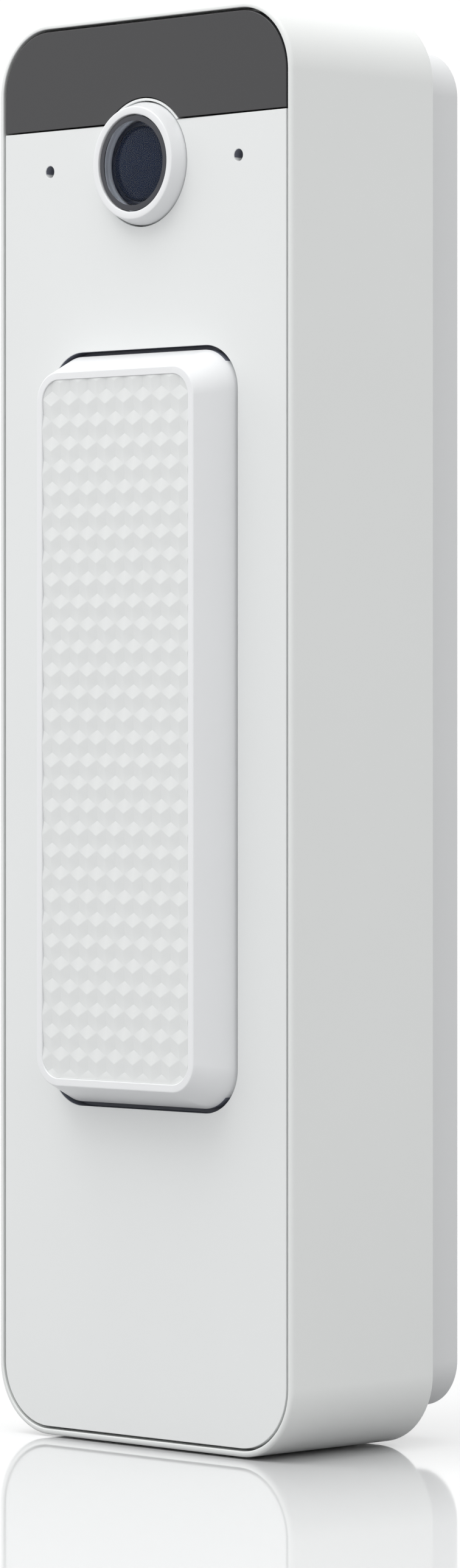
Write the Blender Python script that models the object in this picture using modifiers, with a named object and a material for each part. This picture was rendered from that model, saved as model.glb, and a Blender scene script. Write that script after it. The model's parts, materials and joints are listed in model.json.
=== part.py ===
"""Slim video doorbell: a camera over a tall push button, on a wall bracket that hooks on behind.

Metres, +Z up, front towards -Y. The origin is the middle of the foot of the whole object's box.
Depths are counted back from the housing's front edge, and heights from the housing's middle.
"""

import math

import bmesh
import bpy
from mathutils import Matrix

# Clearances
FIT_GAP = 0.0003
SEAL_GAP = 0.0002
SOLDER_GAP = 0.0001
PAST = 0.001

# Housing
HOUSING_WIDTH = 0.0410
HOUSING_HEIGHT = 0.1400
HOUSING_DEPTH = 0.01985
HOUSING_CORNER = 0.0070
HOUSING_WALL = 0.0026
EDGE_ROUND = 0.00037
RIM_WIDTH = 0.00058
SHELF_WIDTH = 0.0034
SHELF_THICKNESS = 0.0017
OUTLET_COUNT = 5
OUTLET_PITCH = 0.0034
OUTLET_WIDTH = 0.0014
OUTLET_LENGTH = 0.0060
OUTLET_DEPTH = 0.0105

# Front plate and its dark window
PLATE_GAP = 0.00028
PLATE_RECESS = 0.00006
PLATE_THICKNESS = 0.0014
PLATE_EDGE_ROUND = 0.0001
GASKET_THICKNESS = 0.0004
GASKET_INNER_EDGE = 0.0031
WINDOW_HEIGHT = 0.01072
WINDOW_GAP = 0.00015

# Camera
LENS_BELOW_TOP = 0.01477
RING_BASE_RADIUS = 0.0060
RING_TAPER = 0.0005
RING_PROUD = 0.0014
RING_GAP = 0.00015
RING_LIP = 0.00073
RING_FLANGE_WIDTH = 0.0014
RING_FLANGE_THICKNESS = 0.0006
COLLAR_WIDTH = 0.00025
COVER_RECESS = 0.00015
COVER_THICKNESS = 0.0008
COVER_GAP = 0.0001
COVER_SEAT_WIDTH = 0.0004
BARREL_GAP = 0.0002
BARREL_LENGTH = 0.0080
BARREL_MOUTH_RIM = 0.0004
BARREL_MOUTH_DEPTH = 0.0020
ELEMENT_RADIUS = 0.0022
ELEMENT_DOME = 0.0012
ELEMENT_THICKNESS = 0.0008
HOLDER_SIDE = 0.0130
HOLDER_LENGTH = 0.0037
HOLDER_STEP = 0.0011
SENSOR_SIDE = 0.0064
SENSOR_THICKNESS = 0.0009
CAMERA_BOARD_SIDE = 0.0140
RIBBON_WIDTH = 0.0080
RIBBON_THICKNESS = 0.0002
RIBBON_OVERLAP = 0.0040

# Sensor board, with what sits on it
BOARD_THICKNESS = 0.0010
BOARD_EDGE_GAP = 0.0004
SENSOR_BOARD_HEIGHT = 0.0235
MIC_SIDE_MARGIN = 0.0073
MIC_HOLE_RADIUS = 0.0006
MIC_SIZE = 0.0030
MIC_THICKNESS = 0.0010
MIC_SEAL_RADIUS = 0.0016
INFRARED_RADIUS = 0.0015
INFRARED_HEIGHT = 0.0020
INFRARED_SPREAD = 0.0098
INFRARED_ABOVE_LENS = 0.0084
LIGHT_SENSOR_SIDE = 0.0020
LIGHT_SENSOR_THICKNESS = 0.0008
LIGHT_SENSOR_GAP = 0.0006

# Button
BUTTON_SIDE_MARGIN = 0.0074
BUTTON_END_MARGIN = 0.03285
BUTTON_GAP = 0.00045
BUTTON_CORNER = 0.0042
BUTTON_PROUD = 0.00385
BUTTON_TAPER = 0.00168
BUTTON_EDGE_ROUND = 0.00031
BUTTON_WALL = 0.00155
FLANGE_WIDTH = 0.00155
FLANGE_THICKNESS = 0.0008
INSERT_RIM = 0.00077
INSERT_GAP = 0.00015
INSERT_RECESS = 0.00002
INSERT_THICKNESS = 0.0015
LEDGE_WIDTH = 0.0014
LEDGE_THICKNESS = 0.0006
GUIDE_THICKNESS = 0.0020
PAD_RADIUS = 0.0015
PAD_LENGTH = 0.0028
TRAY_END_WALL = 0.0020
TRAY_GAP = 0.0006
TRAY_FRONT = 0.0046
TRAY_DEPTH = 0.0032
TRAY_FLOOR = 0.0010
SWITCH_SIDE = 0.0060
SWITCH_HEIGHT = 0.0013
SWITCH_END_MARGIN = 0.0112
PLUNGER_RADIUS = 0.0011
PLUNGER_GAP = 0.00025
PLUNGER_LENGTH = 0.0005
PLUNGER_FLOOR = 0.0003
LIGHT_SIDE = 0.0016
LIGHT_HEIGHT = 0.0009
LIGHT_COLUMN = 0.0070
LIGHT_ROW = 0.0120

# Main board, with what sits on it
MAIN_BOARD_FRONT = 0.0090
MAIN_BOARD_THICKNESS = 0.0012
MAIN_BOARD_TOP_MARGIN = 0.0300
MAIN_BOARD_FOOT_MARGIN = 0.0060
SHIELD_SIDE = 0.0200
SHIELD_HEIGHT = 0.0024
SHIELD_RISE = 0.0140
SPREADER_WIDTH = 0.0220
SPREADER_LENGTH = 0.0280
SPREADER_GAP = 0.0005
FIN_COUNT = 5
FIN_SLOT_WIDTH = 0.0018
FIN_SLOT_DEPTH = 0.0025
COIL_SIDE = 0.0120
COIL_CORNER = 0.0020
COIL_HEIGHT = 0.0052
COIL_X = -0.0085
COIL_DROP = 0.0100
CAPACITOR_RADIUS = 0.0032
CAPACITOR_LENGTH = 0.0110
CAPACITOR_X = 0.0095
CAPACITOR_DROP = 0.0090
SPEAKER_WIDTH = 0.0280
SPEAKER_LENGTH = 0.0180
SPEAKER_FRONT = 0.0043
SPEAKER_THICKNESS = 0.0040
SPEAKER_CORNER = 0.0030
SPEAKER_FOOT_MARGIN = 0.0080
CONE_RADIUS = 0.0075
CONE_DEPTH = 0.0012
MESH_THICKNESS = 0.0003
MESH_MARGIN = 0.0010

# Rear cover and what passes through it
COVER_WALL = 0.0018
COVER_EDGE = 0.0012
REAR_GASKET_THICKNESS = 0.0005
REAR_GASKET_WIDTH = 0.0009
BOSS_RADIUS = 0.0026
BOSS_INSET = 0.0020
BOSS_LENGTH = 0.0056
BOSS_FLOOR = 0.0008
SCREW_RADIUS = 0.0009
SCREW_HEAD_RADIUS = 0.0019
SCREW_HEAD_HEIGHT = 0.0010
SCREW_LENGTH = 0.0060
SCREW_GAP = 0.00025
JACK_WIDTH = 0.0160
JACK_HEIGHT = 0.0136
JACK_FOOT_MARGIN = 0.0280
JACK_PROUD = 0.0016
SOCKET_WIDTH = 0.0119
SOCKET_HEIGHT = 0.0084
SOCKET_DEPTH = 0.0098
PORT_SEAL_WIDTH = 0.0008
PORT_SEAL_PROUD = 0.0004
RESET_X = 0.0110
RESET_FOOT_MARGIN = 0.0490
RESET_RADIUS = 0.0015
RESET_FLANGE_RADIUS = 0.0023
RESET_FLANGE_THICKNESS = 0.0006
RESET_RECESS = 0.0003
RESET_TRAVEL = 0.0004
RESET_SWITCH_SIDE = 0.0040
RESET_SWITCH_HEIGHT = 0.0018
VENT_RADIUS = 0.0030
VENT_THICKNESS = 0.0005
VENT_HOLE_RADIUS = 0.0008

# Wall bracket
BRACKET_INSET = 0.0030
BRACKET_DEPTH = 0.0067
BRACKET_CORNER = 0.0047
BRACKET_WALL = 0.0016
BRACKET_EDGE_ROUND = 0.0003
SWING_BELOW_TOP = 0.0008
HOOK_X = 0.0080
HOOK_WIDTH = 0.0050
HOOK_THICKNESS = 0.0012
HOOK_BELOW_TOP = 0.0022
HOOK_LIP_HEIGHT = 0.0015
HOOK_LIP_THICKNESS = 0.0014
HOOK_LIP_GAP = 0.00075
HOOK_SLOT_BELOW = 0.0006
HOOK_SLOT_ABOVE = 0.00025
POCKET_WALL = 0.0006
POCKET_ROOM = 0.0005
POCKET_ROOM_BELOW = 0.0012
POCKET_SIDE_ROOM = 0.0007
CABLE_WINDOW_WIDTH = 0.0220
CABLE_WINDOW_HEIGHT = 0.0260
CABLE_WINDOW_CORNER = 0.0020
WALL_SLOT_WIDTH = 0.0042
WALL_SLOT_LENGTH = 0.0090
WALL_SLOT_HEIGHTS = (0.0460, -0.0080)

# Lock screw, held in the bracket's foot
LOCK_RADIUS = 0.0010
LOCK_GAP = 0.0003
LOCK_HEAD_RADIUS = 0.0018
LOCK_HEAD_HEIGHT = 0.0014
LOCK_LENGTH = 0.0052
LOCK_TRAVEL = 0.0025
LOCK_DEPTH_BEHIND = 0.0028
LOCK_PAD_HEIGHT = 0.0041
LOCK_PAD_WIDTH = 0.0090
COUNTERBORE_DEPTH = 0.0026
LOCK_BOSS_GAP = 0.0008
LOCK_BOSS_WIDTH = 0.0080
LOCK_BOSS_HEIGHT = 0.0060
LOCK_BOSS_PROUD = 0.0046
LOCK_HOLE_SPARE = 0.0013

# Small corners, and the share of a slot's width that rounds each of its ends
SMALL_CORNER = 0.0010
TINY_CORNER = 0.0005
SLOT_ROUNDING = 0.499

# Smoothness of round shapes
CORNER_STEPS = 12
SMALL_CORNER_STEPS = 5
EDGE_STEPS = 2
ROUND_STEPS = 48
SMALL_ROUND_STEPS = 20
HEAD_ROOM_STEPS = 24
SOCKET_STEPS = 6
DOME_STEPS = 6

# Two points this near count as one, and an edge this much along an axis counts as parallel to it
SAME_PLACE = 1e-6
ALIGNED = 0.999

# Places worked out from the sizes above
FRONT_Y = -(HOUSING_DEPTH + BRACKET_DEPTH - BUTTON_PROUD) / 2
TOP = HOUSING_HEIGHT / 2
FOOT = -TOP
SIDE = HOUSING_WIDTH / 2
PLATE_INSET = RIM_WIDTH + PLATE_GAP
PLATE_BACK = PLATE_RECESS + PLATE_THICKNESS
GASKET_FRONT = PLATE_BACK + SEAL_GAP
GASKET_BACK = GASKET_FRONT + GASKET_THICKNESS
SHELF_FRONT = GASKET_BACK + SEAL_GAP
SHELF_BACK = SHELF_FRONT + SHELF_THICKNESS
WINDOW_EDGE = TOP - WINDOW_HEIGHT
LENS_Z = TOP - LENS_BELOW_TOP
MIC_X = SIDE - MIC_SIDE_MARGIN
SENSOR_BOARD_FRONT = SHELF_BACK + FIT_GAP
SENSOR_BOARD_BACK = SENSOR_BOARD_FRONT + BOARD_THICKNESS
BARREL_FRONT = COVER_RECESS + COVER_THICKNESS - RING_PROUD + 2 * SEAL_GAP
BARREL_BACK = BARREL_FRONT + BARREL_LENGTH
RING_FRONT_RADIUS = RING_BASE_RADIUS - RING_TAPER
RING_FLANGE_RADIUS = RING_BASE_RADIUS + RING_FLANGE_WIDTH
COLLAR_RADIUS = RING_BASE_RADIUS + RING_GAP + COLLAR_WIDTH
RING_BORE = RING_FRONT_RADIUS - RING_LIP
BARREL_RADIUS = RING_BORE - COVER_SEAT_WIDTH - BARREL_GAP
HOLDER_FRONT = SENSOR_BOARD_BACK + FIT_GAP
HOLDER_BACK = HOLDER_FRONT + HOLDER_LENGTH
CAMERA_BOARD_FRONT = HOLDER_BACK + FIT_GAP
POCKET_WIDTH = HOUSING_WIDTH - 2 * BUTTON_SIDE_MARGIN
POCKET_HEIGHT = HOUSING_HEIGHT - 2 * BUTTON_END_MARGIN
BUTTON_WIDTH = POCKET_WIDTH - 2 * BUTTON_GAP
BUTTON_HEIGHT = POCKET_HEIGHT - 2 * BUTTON_GAP
FACE_WIDTH = BUTTON_WIDTH - 2 * BUTTON_TAPER
FACE_HEIGHT = BUTTON_HEIGHT - 2 * BUTTON_TAPER
FACE_CORNER = BUTTON_CORNER - BUTTON_TAPER
INSERT_WIDTH = FACE_WIDTH - 2 * INSERT_RIM
INSERT_HEIGHT = FACE_HEIGHT - 2 * INSERT_RIM
INSERT_CORNER = FACE_CORNER - INSERT_RIM / 2
INSERT_FRONT = INSERT_RECESS - BUTTON_PROUD
INSERT_BACK = INSERT_FRONT + INSERT_THICKNESS
LEDGE_FRONT = INSERT_BACK + SEAL_GAP
LEDGE_BACK = LEDGE_FRONT + LEDGE_THICKNESS
FLANGE_FRONT = PLATE_BACK + FIT_GAP
FLANGE_BACK = FLANGE_FRONT + FLANGE_THICKNESS
GUIDE_FRONT = LEDGE_BACK + SEAL_GAP
GUIDE_BACK = GUIDE_FRONT + GUIDE_THICKNESS
PAD_BACK = GUIDE_BACK + PAD_LENGTH
PLUNGER_FRONT = PAD_BACK + FIT_GAP
TRAY_BACK = TRAY_FRONT + TRAY_DEPTH
TRAY_ROOM_WIDTH = BUTTON_WIDTH + 2 * (FLANGE_WIDTH + TRAY_GAP)
TRAY_ROOM_HEIGHT = BUTTON_HEIGHT + 2 * (FLANGE_WIDTH + TRAY_GAP)
TRAY_WIDTH = HOUSING_WIDTH - 2 * (SHELF_WIDTH + FIT_GAP)
TRAY_HEIGHT = TRAY_ROOM_HEIGHT + 2 * TRAY_END_WALL
BUTTON_BOARD_BACK = TRAY_BACK - TRAY_FLOOR - SEAL_GAP
BUTTON_BOARD_FRONT = BUTTON_BOARD_BACK - BOARD_THICKNESS
SWITCH_Z = POCKET_HEIGHT / 2 - SWITCH_END_MARGIN
MAIN_BOARD_BACK = MAIN_BOARD_FRONT + MAIN_BOARD_THICKNESS
MAIN_BOARD_TOP = TOP - MAIN_BOARD_TOP_MARGIN
ON_MAIN_BOARD = MAIN_BOARD_BACK + SOLDER_GAP
COVER_FRONT = HOUSING_DEPTH - COVER_WALL
REAR_GASKET_FRONT = COVER_FRONT - SEAL_GAP - REAR_GASKET_THICKNESS
RECESS_FLOOR = REAR_GASKET_FRONT - SEAL_GAP
BOSS_X = SIDE - HOUSING_WALL - BOSS_INSET
BOSS_Z = TOP - HOUSING_WALL - BOSS_INSET
JACK_Z = FOOT + JACK_FOOT_MARGIN
JACK_BACK = HOUSING_DEPTH + JACK_PROUD
RESET_Z = FOOT + RESET_FOOT_MARGIN
BRACKET_FRONT = HOUSING_DEPTH + FIT_GAP
BRACKET_BACK = HOUSING_DEPTH + BRACKET_DEPTH
BRACKET_TOP = TOP - BRACKET_INSET
BRACKET_FOOT = -BRACKET_TOP
BRACKET_FLOOR = BRACKET_BACK - BRACKET_WALL
SWING_Z = BRACKET_TOP - SWING_BELOW_TOP
HOOK_TOP = BRACKET_TOP - HOOK_BELOW_TOP
HOOK_FOOT = HOOK_TOP - HOOK_THICKNESS
LIP_BACK = COVER_FRONT - HOOK_LIP_GAP
LIP_FRONT = LIP_BACK - HOOK_LIP_THICKNESS
LIP_TOP = HOOK_TOP + HOOK_LIP_HEIGHT
LOCK_DEPTH = HOUSING_DEPTH + LOCK_DEPTH_BEHIND
LOCK_HEAD_TOP = BRACKET_FOOT - SEAL_GAP
LOCK_TIP = LOCK_HEAD_TOP + LOCK_LENGTH
LOCK_BOSS_FOOT = LOCK_TIP + LOCK_BOSS_GAP

# Base colour, roughness and metallic value of each finish
FINISHES = {
    "white_plastic": ((0.76, 0.78, 0.78), 0.42, 0.0),
    "bright_white": ((0.81, 0.82, 0.83), 0.36, 0.0),
    "satin_white": ((0.72, 0.73, 0.74), 0.40, 0.0),
    "smoked_window": ((0.088, 0.088, 0.092), 0.22, 0.0),
    "clear_glass": ((0.05, 0.06, 0.09), 0.05, 0.0),
    "black_plastic": ((0.02, 0.02, 0.023), 0.45, 0.0),
    "dark_rubber": ((0.03, 0.03, 0.032), 0.75, 0.0),
    "circuit_board": ((0.02, 0.16, 0.07), 0.45, 0.0),
    "tinned_steel": ((0.62, 0.62, 0.60), 0.35, 1.0),
    "milky_guide": ((0.80, 0.82, 0.84), 0.30, 0.0),
    "cast_aluminium": ((0.58, 0.59, 0.60), 0.48, 1.0),
    "gold_contact": ((0.75, 0.55, 0.22), 0.35, 1.0),
}


def clear_scene():
    for old in list(bpy.data.objects):
        bpy.data.objects.remove(old)


def new_collection(name):
    collection = bpy.data.collections.new(name)
    bpy.context.scene.collection.children.link(collection)
    return collection


def finish_for(name, finish):
    colour, roughness, metallic = FINISHES[finish]
    material = bpy.data.materials.new(name + "_finish")
    material.use_nodes = True
    shader = material.node_tree.nodes["Principled BSDF"]
    shader.inputs["Base Color"].default_value = (*colour, 1.0)
    shader.inputs["Roughness"].default_value = roughness
    shader.inputs["Metallic"].default_value = metallic
    return material


def new_object(name, shape, location, finish):
    """The bmesh as an object. With no finish it is a cutter, which is kept out of renders."""
    mesh = bpy.data.meshes.new(name)
    bmesh.ops.recalc_face_normals(shape, faces=shape.faces)
    shape.to_mesh(mesh)
    shape.free()
    piece = bpy.data.objects.new(name, mesh)
    piece.location = location
    piece.parent = front_frame
    if finish:
        mesh.materials.append(finish_for(name, finish))
        parts.objects.link(piece)
    else:
        piece.hide_render = True
        piece.display_type = "WIRE"
        cutters.objects.link(piece)
    return piece


def edges_at_depth(shape, y):
    """The edges that lie wholly in the plane of this local y."""
    return [
        edge
        for edge in shape.edges
        if all(abs(vertex.co.y - y) < SAME_PLACE for vertex in edge.verts)
    ]


def edges_along(shape, axis):
    found = []
    for edge in shape.edges:
        run = edge.verts[1].co - edge.verts[0].co
        if abs(run[axis]) > ALIGNED * run.length:
            found.append(edge)
    return found


def bevel(shape, edges, radius, steps):
    bmesh.ops.bevel(
        shape,
        geom=edges,
        offset=radius,
        offset_type="OFFSET",
        segments=steps,
        profile=0.5,
        affect="EDGES",
    )


def slab(width, height, thickness, corner=0.0, steps=SMALL_CORNER_STEPS, axis=1):
    """A box about its own middle, with the four edges along one axis rounded."""
    shape = bmesh.new()
    bmesh.ops.create_cube(shape, size=1.0)
    bmesh.ops.scale(shape, vec=(width, thickness, height), verts=shape.verts)
    if corner > 0.0:
        bevel(shape, edges_along(shape, axis), corner, steps)
    return shape


def block(
    name,
    width,
    height,
    front,
    back,
    x=0.0,
    z=0.0,
    corner=0.0,
    steps=SMALL_CORNER_STEPS,
    finish=None,
):
    """A block that faces the front, with its corners rounded in the front view."""
    shape = slab(width, height, back - front, corner, steps)
    return new_object(name, shape, (x, (front + back) / 2, z), finish)


def rod(name, radius, front, back, x=0.0, z=0.0, steps=SMALL_ROUND_STEPS, finish=None):
    """A cylinder along Y."""
    shape = bmesh.new()
    turn = Matrix.Rotation(math.pi / 2, 4, "X")
    bmesh.ops.create_cone(
        shape,
        cap_ends=True,
        segments=steps,
        radius1=radius,
        radius2=radius,
        depth=back - front,
        matrix=turn,
    )
    return new_object(name, shape, (x, (front + back) / 2, z), finish)


def upright_rod(name, radius, low, high, x=0.0, depth=0.0, steps=SMALL_ROUND_STEPS, finish=None):
    """A cylinder along Z."""
    shape = bmesh.new()
    bmesh.ops.create_cone(
        shape,
        cap_ends=True,
        segments=steps,
        radius1=radius,
        radius2=radius,
        depth=high - low,
    )
    return new_object(name, shape, (x, depth, (low + high) / 2), finish)


def turned(name, profile, x=0.0, z=0.0, steps=ROUND_STEPS, finish=None):
    """A turned piece from (radius, depth) points, which run back along its outer side."""
    mesh = bpy.data.meshes.new(name)
    points = [(radius, 0.0, -depth) for radius, depth in profile]
    runs = [(i, i + 1) for i in range(len(points) - 1)]
    if profile[0][0] > 0.0:
        runs.append((len(points) - 1, 0))
    mesh.from_pydata(points, runs, [])
    piece = new_object(name, bmesh.new(), (x, 0.0, z), finish)
    material = piece.data.materials[0]
    piece.data = mesh
    mesh.materials.append(material)
    piece.rotation_euler = (math.pi / 2, 0.0, 0.0)
    screw = piece.modifiers.new("turn", "SCREW")
    screw.axis = "Z"
    screw.angle = 2 * math.pi
    screw.steps = steps
    screw.render_steps = steps
    screw.use_smooth_shade = True
    screw.use_merge_vertices = True
    screw.merge_threshold = SAME_PLACE
    return piece


def combine(piece, other, operation):
    boolean = piece.modifiers.new(operation.lower() + "_" + other.name, "BOOLEAN")
    boolean.operation = operation
    boolean.object = other
    boolean.solver = "EXACT"


def cut(piece, *others):
    for other in others:
        combine(piece, other, "DIFFERENCE")


def join(piece, *others):
    for other in others:
        combine(piece, other, "UNION")


def inset_block(name, inset, front, back, finish=None, steps=CORNER_STEPS):
    """A block that follows the housing's outline, this far inside it."""
    return block(
        name,
        HOUSING_WIDTH - 2 * inset,
        HOUSING_HEIGHT - 2 * inset,
        front,
        back,
        corner=max(HOUSING_CORNER - inset, SMALL_CORNER),
        steps=steps,
        finish=finish,
    )


def smooth(piece, angle=math.radians(35)):
    piece.data.shade_smooth()
    piece.data.set_sharp_from_angle(angle=angle)


def corner_places(x, z):
    return [(-x, z), (x, z), (-x, -z), (x, -z)]


def make_housing():
    shape = slab(HOUSING_WIDTH, HOUSING_HEIGHT, HOUSING_DEPTH, HOUSING_CORNER, CORNER_STEPS)
    for y in (-HOUSING_DEPTH / 2, HOUSING_DEPTH / 2):
        bevel(shape, edges_at_depth(shape, y), EDGE_ROUND, EDGE_STEPS)
    housing = new_object("housing", shape, (0.0, HOUSING_DEPTH / 2, 0.0), "satin_white")
    cut(
        housing,
        inset_block("plate_recess", RIM_WIDTH, -PAST, SHELF_FRONT),
        inset_block("shelf_opening", SHELF_WIDTH, 0.0, RECESS_FLOOR),
        inset_block("inside_room", HOUSING_WALL, SHELF_BACK, HOUSING_DEPTH),
        inset_block("cover_recess", COVER_EDGE, RECESS_FLOOR, HOUSING_DEPTH + PAST),
    )
    for number, (x, z) in enumerate(corner_places(BOSS_X, BOSS_Z), 1):
        boss_front = RECESS_FLOOR - BOSS_LENGTH
        join(housing, rod(f"boss_{number}", BOSS_RADIUS, boss_front, RECESS_FLOOR, x, z))
        hole_front = boss_front + BOSS_FLOOR
        hole_radius = SCREW_RADIUS + SCREW_GAP
        cut(housing, rod(f"boss_hole_{number}", hole_radius, hole_front, RECESS_FLOOR + PAST, x, z))
    for number in range(OUTLET_COUNT):
        x = (number - (OUTLET_COUNT - 1) / 2) * OUTLET_PITCH
        corner = OUTLET_WIDTH * SLOT_ROUNDING
        shape = slab(OUTLET_WIDTH, HOUSING_WALL + 2 * PAST, OUTLET_LENGTH, corner, axis=2)
        place = (x, OUTLET_DEPTH, FOOT + HOUSING_WALL / 2)
        cut(housing, new_object(f"outlet_{number + 1}", shape, place, None))
    smooth(housing)
    return housing


def make_front_plate():
    thickness = PLATE_THICKNESS
    width = HOUSING_WIDTH - 2 * PLATE_INSET
    height = HOUSING_HEIGHT - 2 * PLATE_INSET
    shape = slab(width, height, thickness, HOUSING_CORNER - PLATE_INSET, CORNER_STEPS)
    bevel(shape, edges_at_depth(shape, -thickness / 2), PLATE_EDGE_ROUND, 1)
    plate = new_object("front_plate", shape, (0.0, PLATE_RECESS + thickness / 2, 0.0), "white_plastic")
    through = (-PAST, PLATE_BACK + PAST)
    cut(plate, block("window_room", HOUSING_WIDTH, 2 * WINDOW_HEIGHT, *through, z=TOP + WINDOW_GAP))
    collar = rod("lens_collar", COLLAR_RADIUS, PLATE_RECESS, PLATE_BACK, z=LENS_Z, steps=ROUND_STEPS)
    join(plate, collar)
    hole_radius = RING_BASE_RADIUS + RING_GAP
    cut(
        plate,
        rod("ring_hole", hole_radius, *through, z=LENS_Z, steps=ROUND_STEPS),
        block(
            "button_pocket",
            POCKET_WIDTH,
            POCKET_HEIGHT,
            *through,
            corner=BUTTON_CORNER + BUTTON_GAP,
            steps=CORNER_STEPS,
        ),
    )
    for side, x in (("left", -MIC_X), ("right", MIC_X)):
        cut(plate, rod(f"mic_hole_{side}", MIC_HOLE_RADIUS, *through, x, LENS_Z))
    smooth(plate)
    return plate


def make_sensor_window():
    window = inset_block("sensor_window", PLATE_INSET, PLATE_RECESS, PLATE_BACK, "smoked_window")
    below = block("below_window", HOUSING_WIDTH, HOUSING_HEIGHT, -PAST, PLATE_BACK + PAST)
    below.location.z = WINDOW_EDGE + WINDOW_GAP - HOUSING_HEIGHT / 2
    collar_room = COLLAR_RADIUS + 2 * WINDOW_GAP
    notch = rod("collar_notch", collar_room, -PAST, PLATE_BACK + PAST, z=LENS_Z, steps=ROUND_STEPS)
    cut(window, below, notch)
    smooth(window)


def make_plate_gasket():
    gasket = inset_block("plate_gasket", PLATE_INSET, GASKET_FRONT, GASKET_BACK, "dark_rubber")
    cut(gasket, inset_block("gasket_opening", GASKET_INNER_EDGE, GASKET_FRONT - PAST, GASKET_BACK + PAST))


def make_camera():
    bore = RING_BORE
    seat = bore - COVER_SEAT_WIDTH
    cover_front = COVER_RECESS - RING_PROUD
    cover_back = cover_front + COVER_THICKNESS
    flange_front = PLATE_BACK + SEAL_GAP
    flange_back = flange_front + RING_FLANGE_THICKNESS
    turned(
        "lens_ring",
        [
            (bore, -RING_PROUD),
            (RING_FRONT_RADIUS, -RING_PROUD),
            (RING_BASE_RADIUS, PLATE_RECESS),
            (RING_BASE_RADIUS, flange_front),
            (RING_FLANGE_RADIUS, flange_front),
            (RING_FLANGE_RADIUS, flange_back),
            (seat, flange_back),
            (seat, cover_back + SEAL_GAP),
            (bore, cover_back + SEAL_GAP),
        ],
        z=LENS_Z,
        finish="bright_white",
    )
    cover_radius = bore - COVER_GAP
    turned(
        "lens_cover",
        [(0.0, cover_front), (cover_radius, cover_front), (cover_radius, cover_back), (0.0, cover_back)],
        z=LENS_Z,
        finish="clear_glass",
    )
    gasket_radius = RING_FLANGE_RADIUS
    gasket_front = flange_back + SEAL_GAP
    gasket_back = SENSOR_BOARD_FRONT - SEAL_GAP
    gasket_bore = BARREL_RADIUS + 2 * FIT_GAP
    turned(
        "lens_gasket",
        [
            (gasket_bore, gasket_front),
            (gasket_radius, gasket_front),
            (gasket_radius, gasket_back),
            (gasket_bore, gasket_back),
        ],
        z=LENS_Z,
        finish="dark_rubber",
    )
    mouth = BARREL_RADIUS - BARREL_MOUTH_RIM
    element_front = BARREL_FRONT + BARREL_MOUTH_DEPTH - ELEMENT_DOME
    turned(
        "lens_barrel",
        [
            (0.0, BARREL_FRONT + BARREL_MOUTH_DEPTH + ELEMENT_THICKNESS),
            (ELEMENT_RADIUS + SOLDER_GAP, BARREL_FRONT + BARREL_MOUTH_DEPTH + ELEMENT_THICKNESS),
            (ELEMENT_RADIUS + SOLDER_GAP, BARREL_FRONT + BARREL_MOUTH_DEPTH - SOLDER_GAP),
            (mouth, BARREL_FRONT),
            (BARREL_RADIUS, BARREL_FRONT),
            (BARREL_RADIUS, BARREL_BACK),
            (0.0, BARREL_BACK),
        ],
        z=LENS_Z,
        finish="black_plastic",
    )
    dome = []
    for step in range(DOME_STEPS + 1):
        angle = step / DOME_STEPS * math.pi / 2
        depth = element_front + ELEMENT_DOME * (1 - math.cos(angle))
        dome.append((ELEMENT_RADIUS * math.sin(angle), depth))
    element_back = BARREL_FRONT + BARREL_MOUTH_DEPTH + ELEMENT_THICKNESS - SEAL_GAP
    turned(
        "lens_element",
        dome + [(ELEMENT_RADIUS, element_back), (0.0, element_back)],
        z=LENS_Z,
        steps=ROUND_STEPS // 2,
        finish="clear_glass",
    )
    holder = block(
        "lens_holder",
        HOLDER_SIDE,
        HOLDER_SIDE,
        HOLDER_FRONT,
        HOLDER_BACK,
        z=LENS_Z,
        corner=SMALL_CORNER,
        finish="black_plastic",
    )
    holder_bore = BARREL_RADIUS + FIT_GAP
    sensor_room = SENSOR_SIDE / math.sqrt(2) + FIT_GAP
    cut(
        holder,
        rod("holder_bore", holder_bore, HOLDER_FRONT - PAST, HOLDER_BACK + PAST, z=LENS_Z),
        rod("sensor_room", sensor_room, HOLDER_BACK - HOLDER_STEP, HOLDER_BACK + PAST, z=LENS_Z),
    )
    sensor_back = CAMERA_BOARD_FRONT - SOLDER_GAP
    block(
        "image_sensor",
        SENSOR_SIDE,
        SENSOR_SIDE,
        sensor_back - SENSOR_THICKNESS,
        sensor_back,
        z=LENS_Z,
        finish="clear_glass",
    )
    board_back = CAMERA_BOARD_FRONT + BOARD_THICKNESS
    block(
        "camera_board",
        CAMERA_BOARD_SIDE,
        CAMERA_BOARD_SIDE,
        CAMERA_BOARD_FRONT,
        board_back,
        z=LENS_Z,
        corner=SMALL_CORNER,
        finish="circuit_board",
    )
    ribbon_front = board_back + SOLDER_GAP
    ribbon_top = LENS_Z - CAMERA_BOARD_SIDE / 2 + RIBBON_OVERLAP
    ribbon_foot = MAIN_BOARD_TOP - RIBBON_OVERLAP
    block(
        "camera_ribbon",
        RIBBON_WIDTH,
        ribbon_top - ribbon_foot,
        ribbon_front,
        ribbon_front + RIBBON_THICKNESS,
        z=(ribbon_top + ribbon_foot) / 2,
        finish="gold_contact",
    )


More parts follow.
